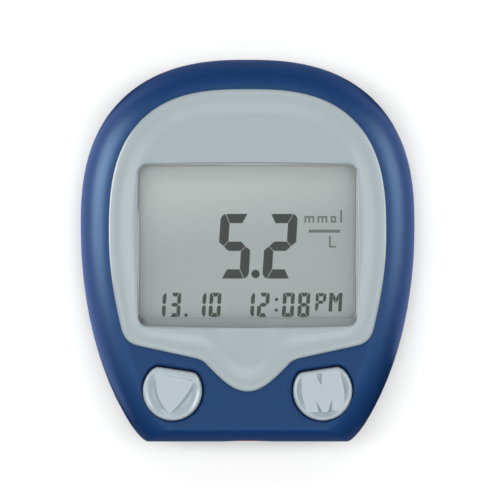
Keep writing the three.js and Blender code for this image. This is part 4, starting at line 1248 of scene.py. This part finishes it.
thread = add_node(screw_tree, "GeometryNodeCurveToMesh", [
    ("Curve", thread_line.outputs[0]),
    ("Profile Curve", thread_ring.outputs[0]),
    ("Fill Caps", True),
])
thread_place = add_node(screw_tree, "GeometryNodeTransform", [
    ("Geometry", thread.outputs[0]),
    ("Translation", (0, 0, thread_start * mm)),
])
whole_screw = add_node(screw_tree, "GeometryNodeJoinGeometry", [
    ("Geometry", driven_head.outputs["Mesh"]),
    ("Geometry", core.outputs[0]),
    ("Geometry", thread_place.outputs[0]),
])
placed_screws = add_node(screw_tree, "GeometryNodeInstanceOnPoints", [
    ("Points", screw_size["Places"]),
    ("Instance", whole_screw.outputs[0]),
])
loose_screws = add_node(screw_tree, "GeometryNodeRealizeInstances", [(0, placed_screws.outputs[0])])
steel_screws = add_node(screw_tree, "GeometryNodeSetMaterial", [
    ("Geometry", loose_screws.outputs[0]),
    ("Material", plated_steel),
])
add_node(screw_tree, "NodeGroupOutput", [("Geometry", steel_screws.outputs[0])])

case_seats = [(x, y, bay_roof) for x, y in (*screw_places, hidden_screw)]
board_seats = [(x, board_screw_y, board_low) for x in (-board_screw_x, board_screw_x)]
for kind, seats, head_radius, head_height, shank_radius, length in (
    ("case_screw", case_seats, screw_head, 1.4, screw_shank, 8.0),
    ("board_screw", board_seats, 1.5, 1.2, 0.85, 5.0),
):
    screws = grown(kind + "s_fine", screw_tree, seats, plated_steel, {
        "Head Radius": head_radius * mm,
        "Head Height": head_height * mm,
        "Shank Radius": shank_radius * mm,
        "Length": length * mm,
        "Pitch": thread_pitch * mm,
    })
    finish_mesh(screws, plated_steel, crease=40)
    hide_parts(*(f"{kind}_{k}" for k in range(1, len(seats) + 1)))
    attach(screws, "meter_body")


# Inner pieces: the board with its parts, the display's stack, the cells with their contacts, the
# strip contacts, domes and tape between the two covers. They keep their CAD shapes, and each gets
# the material of the real thing.


def inner_material(name, colour, second, roughness, size, depth, kind="ShaderNodeTexNoise", **sockets):
    """A material whose colour varies between two tones in a pattern of a real size in mm."""
    material, shader = new_material(name, colour, roughness, **sockets)
    tone = add_node(material, "ShaderNodeMix", [
        (0, add_grain(material, shader, size, depth, kind)),
        (6, linear(colour)),
        (7, linear(second)),
    ], data_type="RGBA")
    material.node_tree.links.new(tone.outputs[2], shader.inputs["Base Color"])
    return material


# Foam tape: dull pale grey, with painted shade along its lower run, where the window's edge throws its
# shadow.
painted_shade_start, painted_shade_end = -11.0, -12.4
foam_tape = inner_material("grey_foam_tape", "#c6cccb", "#bdc3c2", 0.75, 0.3, 0.02)
tape_shader = foam_tape.node_tree.nodes["Principled BSDF"]
tape_tone = tape_shader.inputs["Base Color"].links[0].from_socket
tape_place = add_node(foam_tape, "ShaderNodeSeparateXYZ", [(0, object_coordinates(foam_tape))])
tape_painted_shade_share = add_node(foam_tape, "ShaderNodeMapRange", [
    ("Value", tape_place.outputs["Y"]),
    ("From Min", painted_shade_start * mm),
    ("From Max", painted_shade_end * mm),
], interpolation_type="SMOOTHSTEP")
# Painted shade: towards its lower run the tape's colour is mixed into a darker grey.
tape_painted_shade = add_node(foam_tape, "ShaderNodeMix", [
    (0, tape_painted_shade_share.outputs["Result"]),
    (6, tape_tone),
    (7, linear("#80888a")),
], data_type="RGBA")
foam_tape.node_tree.links.new(tape_painted_shade.outputs[2], tape_shader.inputs["Base Color"])
# Silicone: milky and soft-edged, without hard glints.
silicone = inner_material("silicone_rubber", "#d8d8d0", "#cbcbc2", 0.6, 0.8, 0.01)
# Filled black resin: near black, with the fine dull grain of chips and connectors.
black_resin = inner_material("black_resin", "#1d1e20", "#26272a", 0.6, 0.2, 0.01)
# Gold plate: thin warm metal that glints on its bent edges.
gold = inner_material("gold_plate", "#d8ac52", "#c99a42", 0.28, 0.3, 0.002, Metallic=1.0)
# Solder resist: a glossy green coat over glass fibre, mottled by the weave below it.
solder_resist = inner_material("green_solder_resist", "#14603a", "#1c7045", 0.35, 1.5, 0.01)
# Nickel-plated cans: bright metal with the fine lines that drawing leaves.
nickel = inner_material(
    "nickel_can", "#c6c7c6", "#b5b6b6", 0.27, 0.25, 0.003, "ShaderNodeTexWave", Metallic=1.0)
# Thin glass: clear with a grey-green cast and sharp reflections.
glass = inner_material("display_glass", "#c3cbc0", "#b9c2b8", 0.08, 5, 0.002, Alpha=0.35)
# White moulded plastic: matte, so that it brightens the display's edge without shining.
frame_plastic = inner_material("white_plastic", "#dedfd9", "#d4d5ce", 0.5, 0.4, 0.005)
# Zebra rubber: fine black and pale layers in turn, dull throughout.
zebra = inner_material(
    "zebra_elastomer", "#e0d9d6", "#2c2b2d", 0.65, 0.12, 0.002, "ShaderNodeTexWave")
# Rolled spring steel: grey satin metal, slightly clouded.
spring = inner_material("spring_steel", "#aeb0b2", "#9d9fa2", 0.3, 0.4, 0.003, Metallic=1.0)
inner_nodes = {
    foam_tape: ["lens_tape"],
    silicone: ["scroll_key_dome", "memory_key_dome"],
    black_resin: ["strip_connector", "processor_chip", "analog_chip", "buzzer"],
    gold: ["strip_contact_1", "strip_contact_2", "strip_contact_3"],
    solder_resist: ["main_board"],
    nickel: ["coin_cell_1", "coin_cell_2", "clock_crystal"],
    glass: ["lcd_front_glass", "lcd_rear_glass"],
    film: ["lcd_front_polariser", "lcd_reflector"],
    frame_plastic: ["lcd_frame"],
    zebra: ["zebra_strip_lower", "zebra_strip_upper"],
    spring: ["cell_spring_1", "cell_spring_2", "can_contact_1", "can_contact_2"],
}
for material, names in inner_nodes.items():
    for name in names:
        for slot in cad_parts[name].material_slots:
            slot.material = material
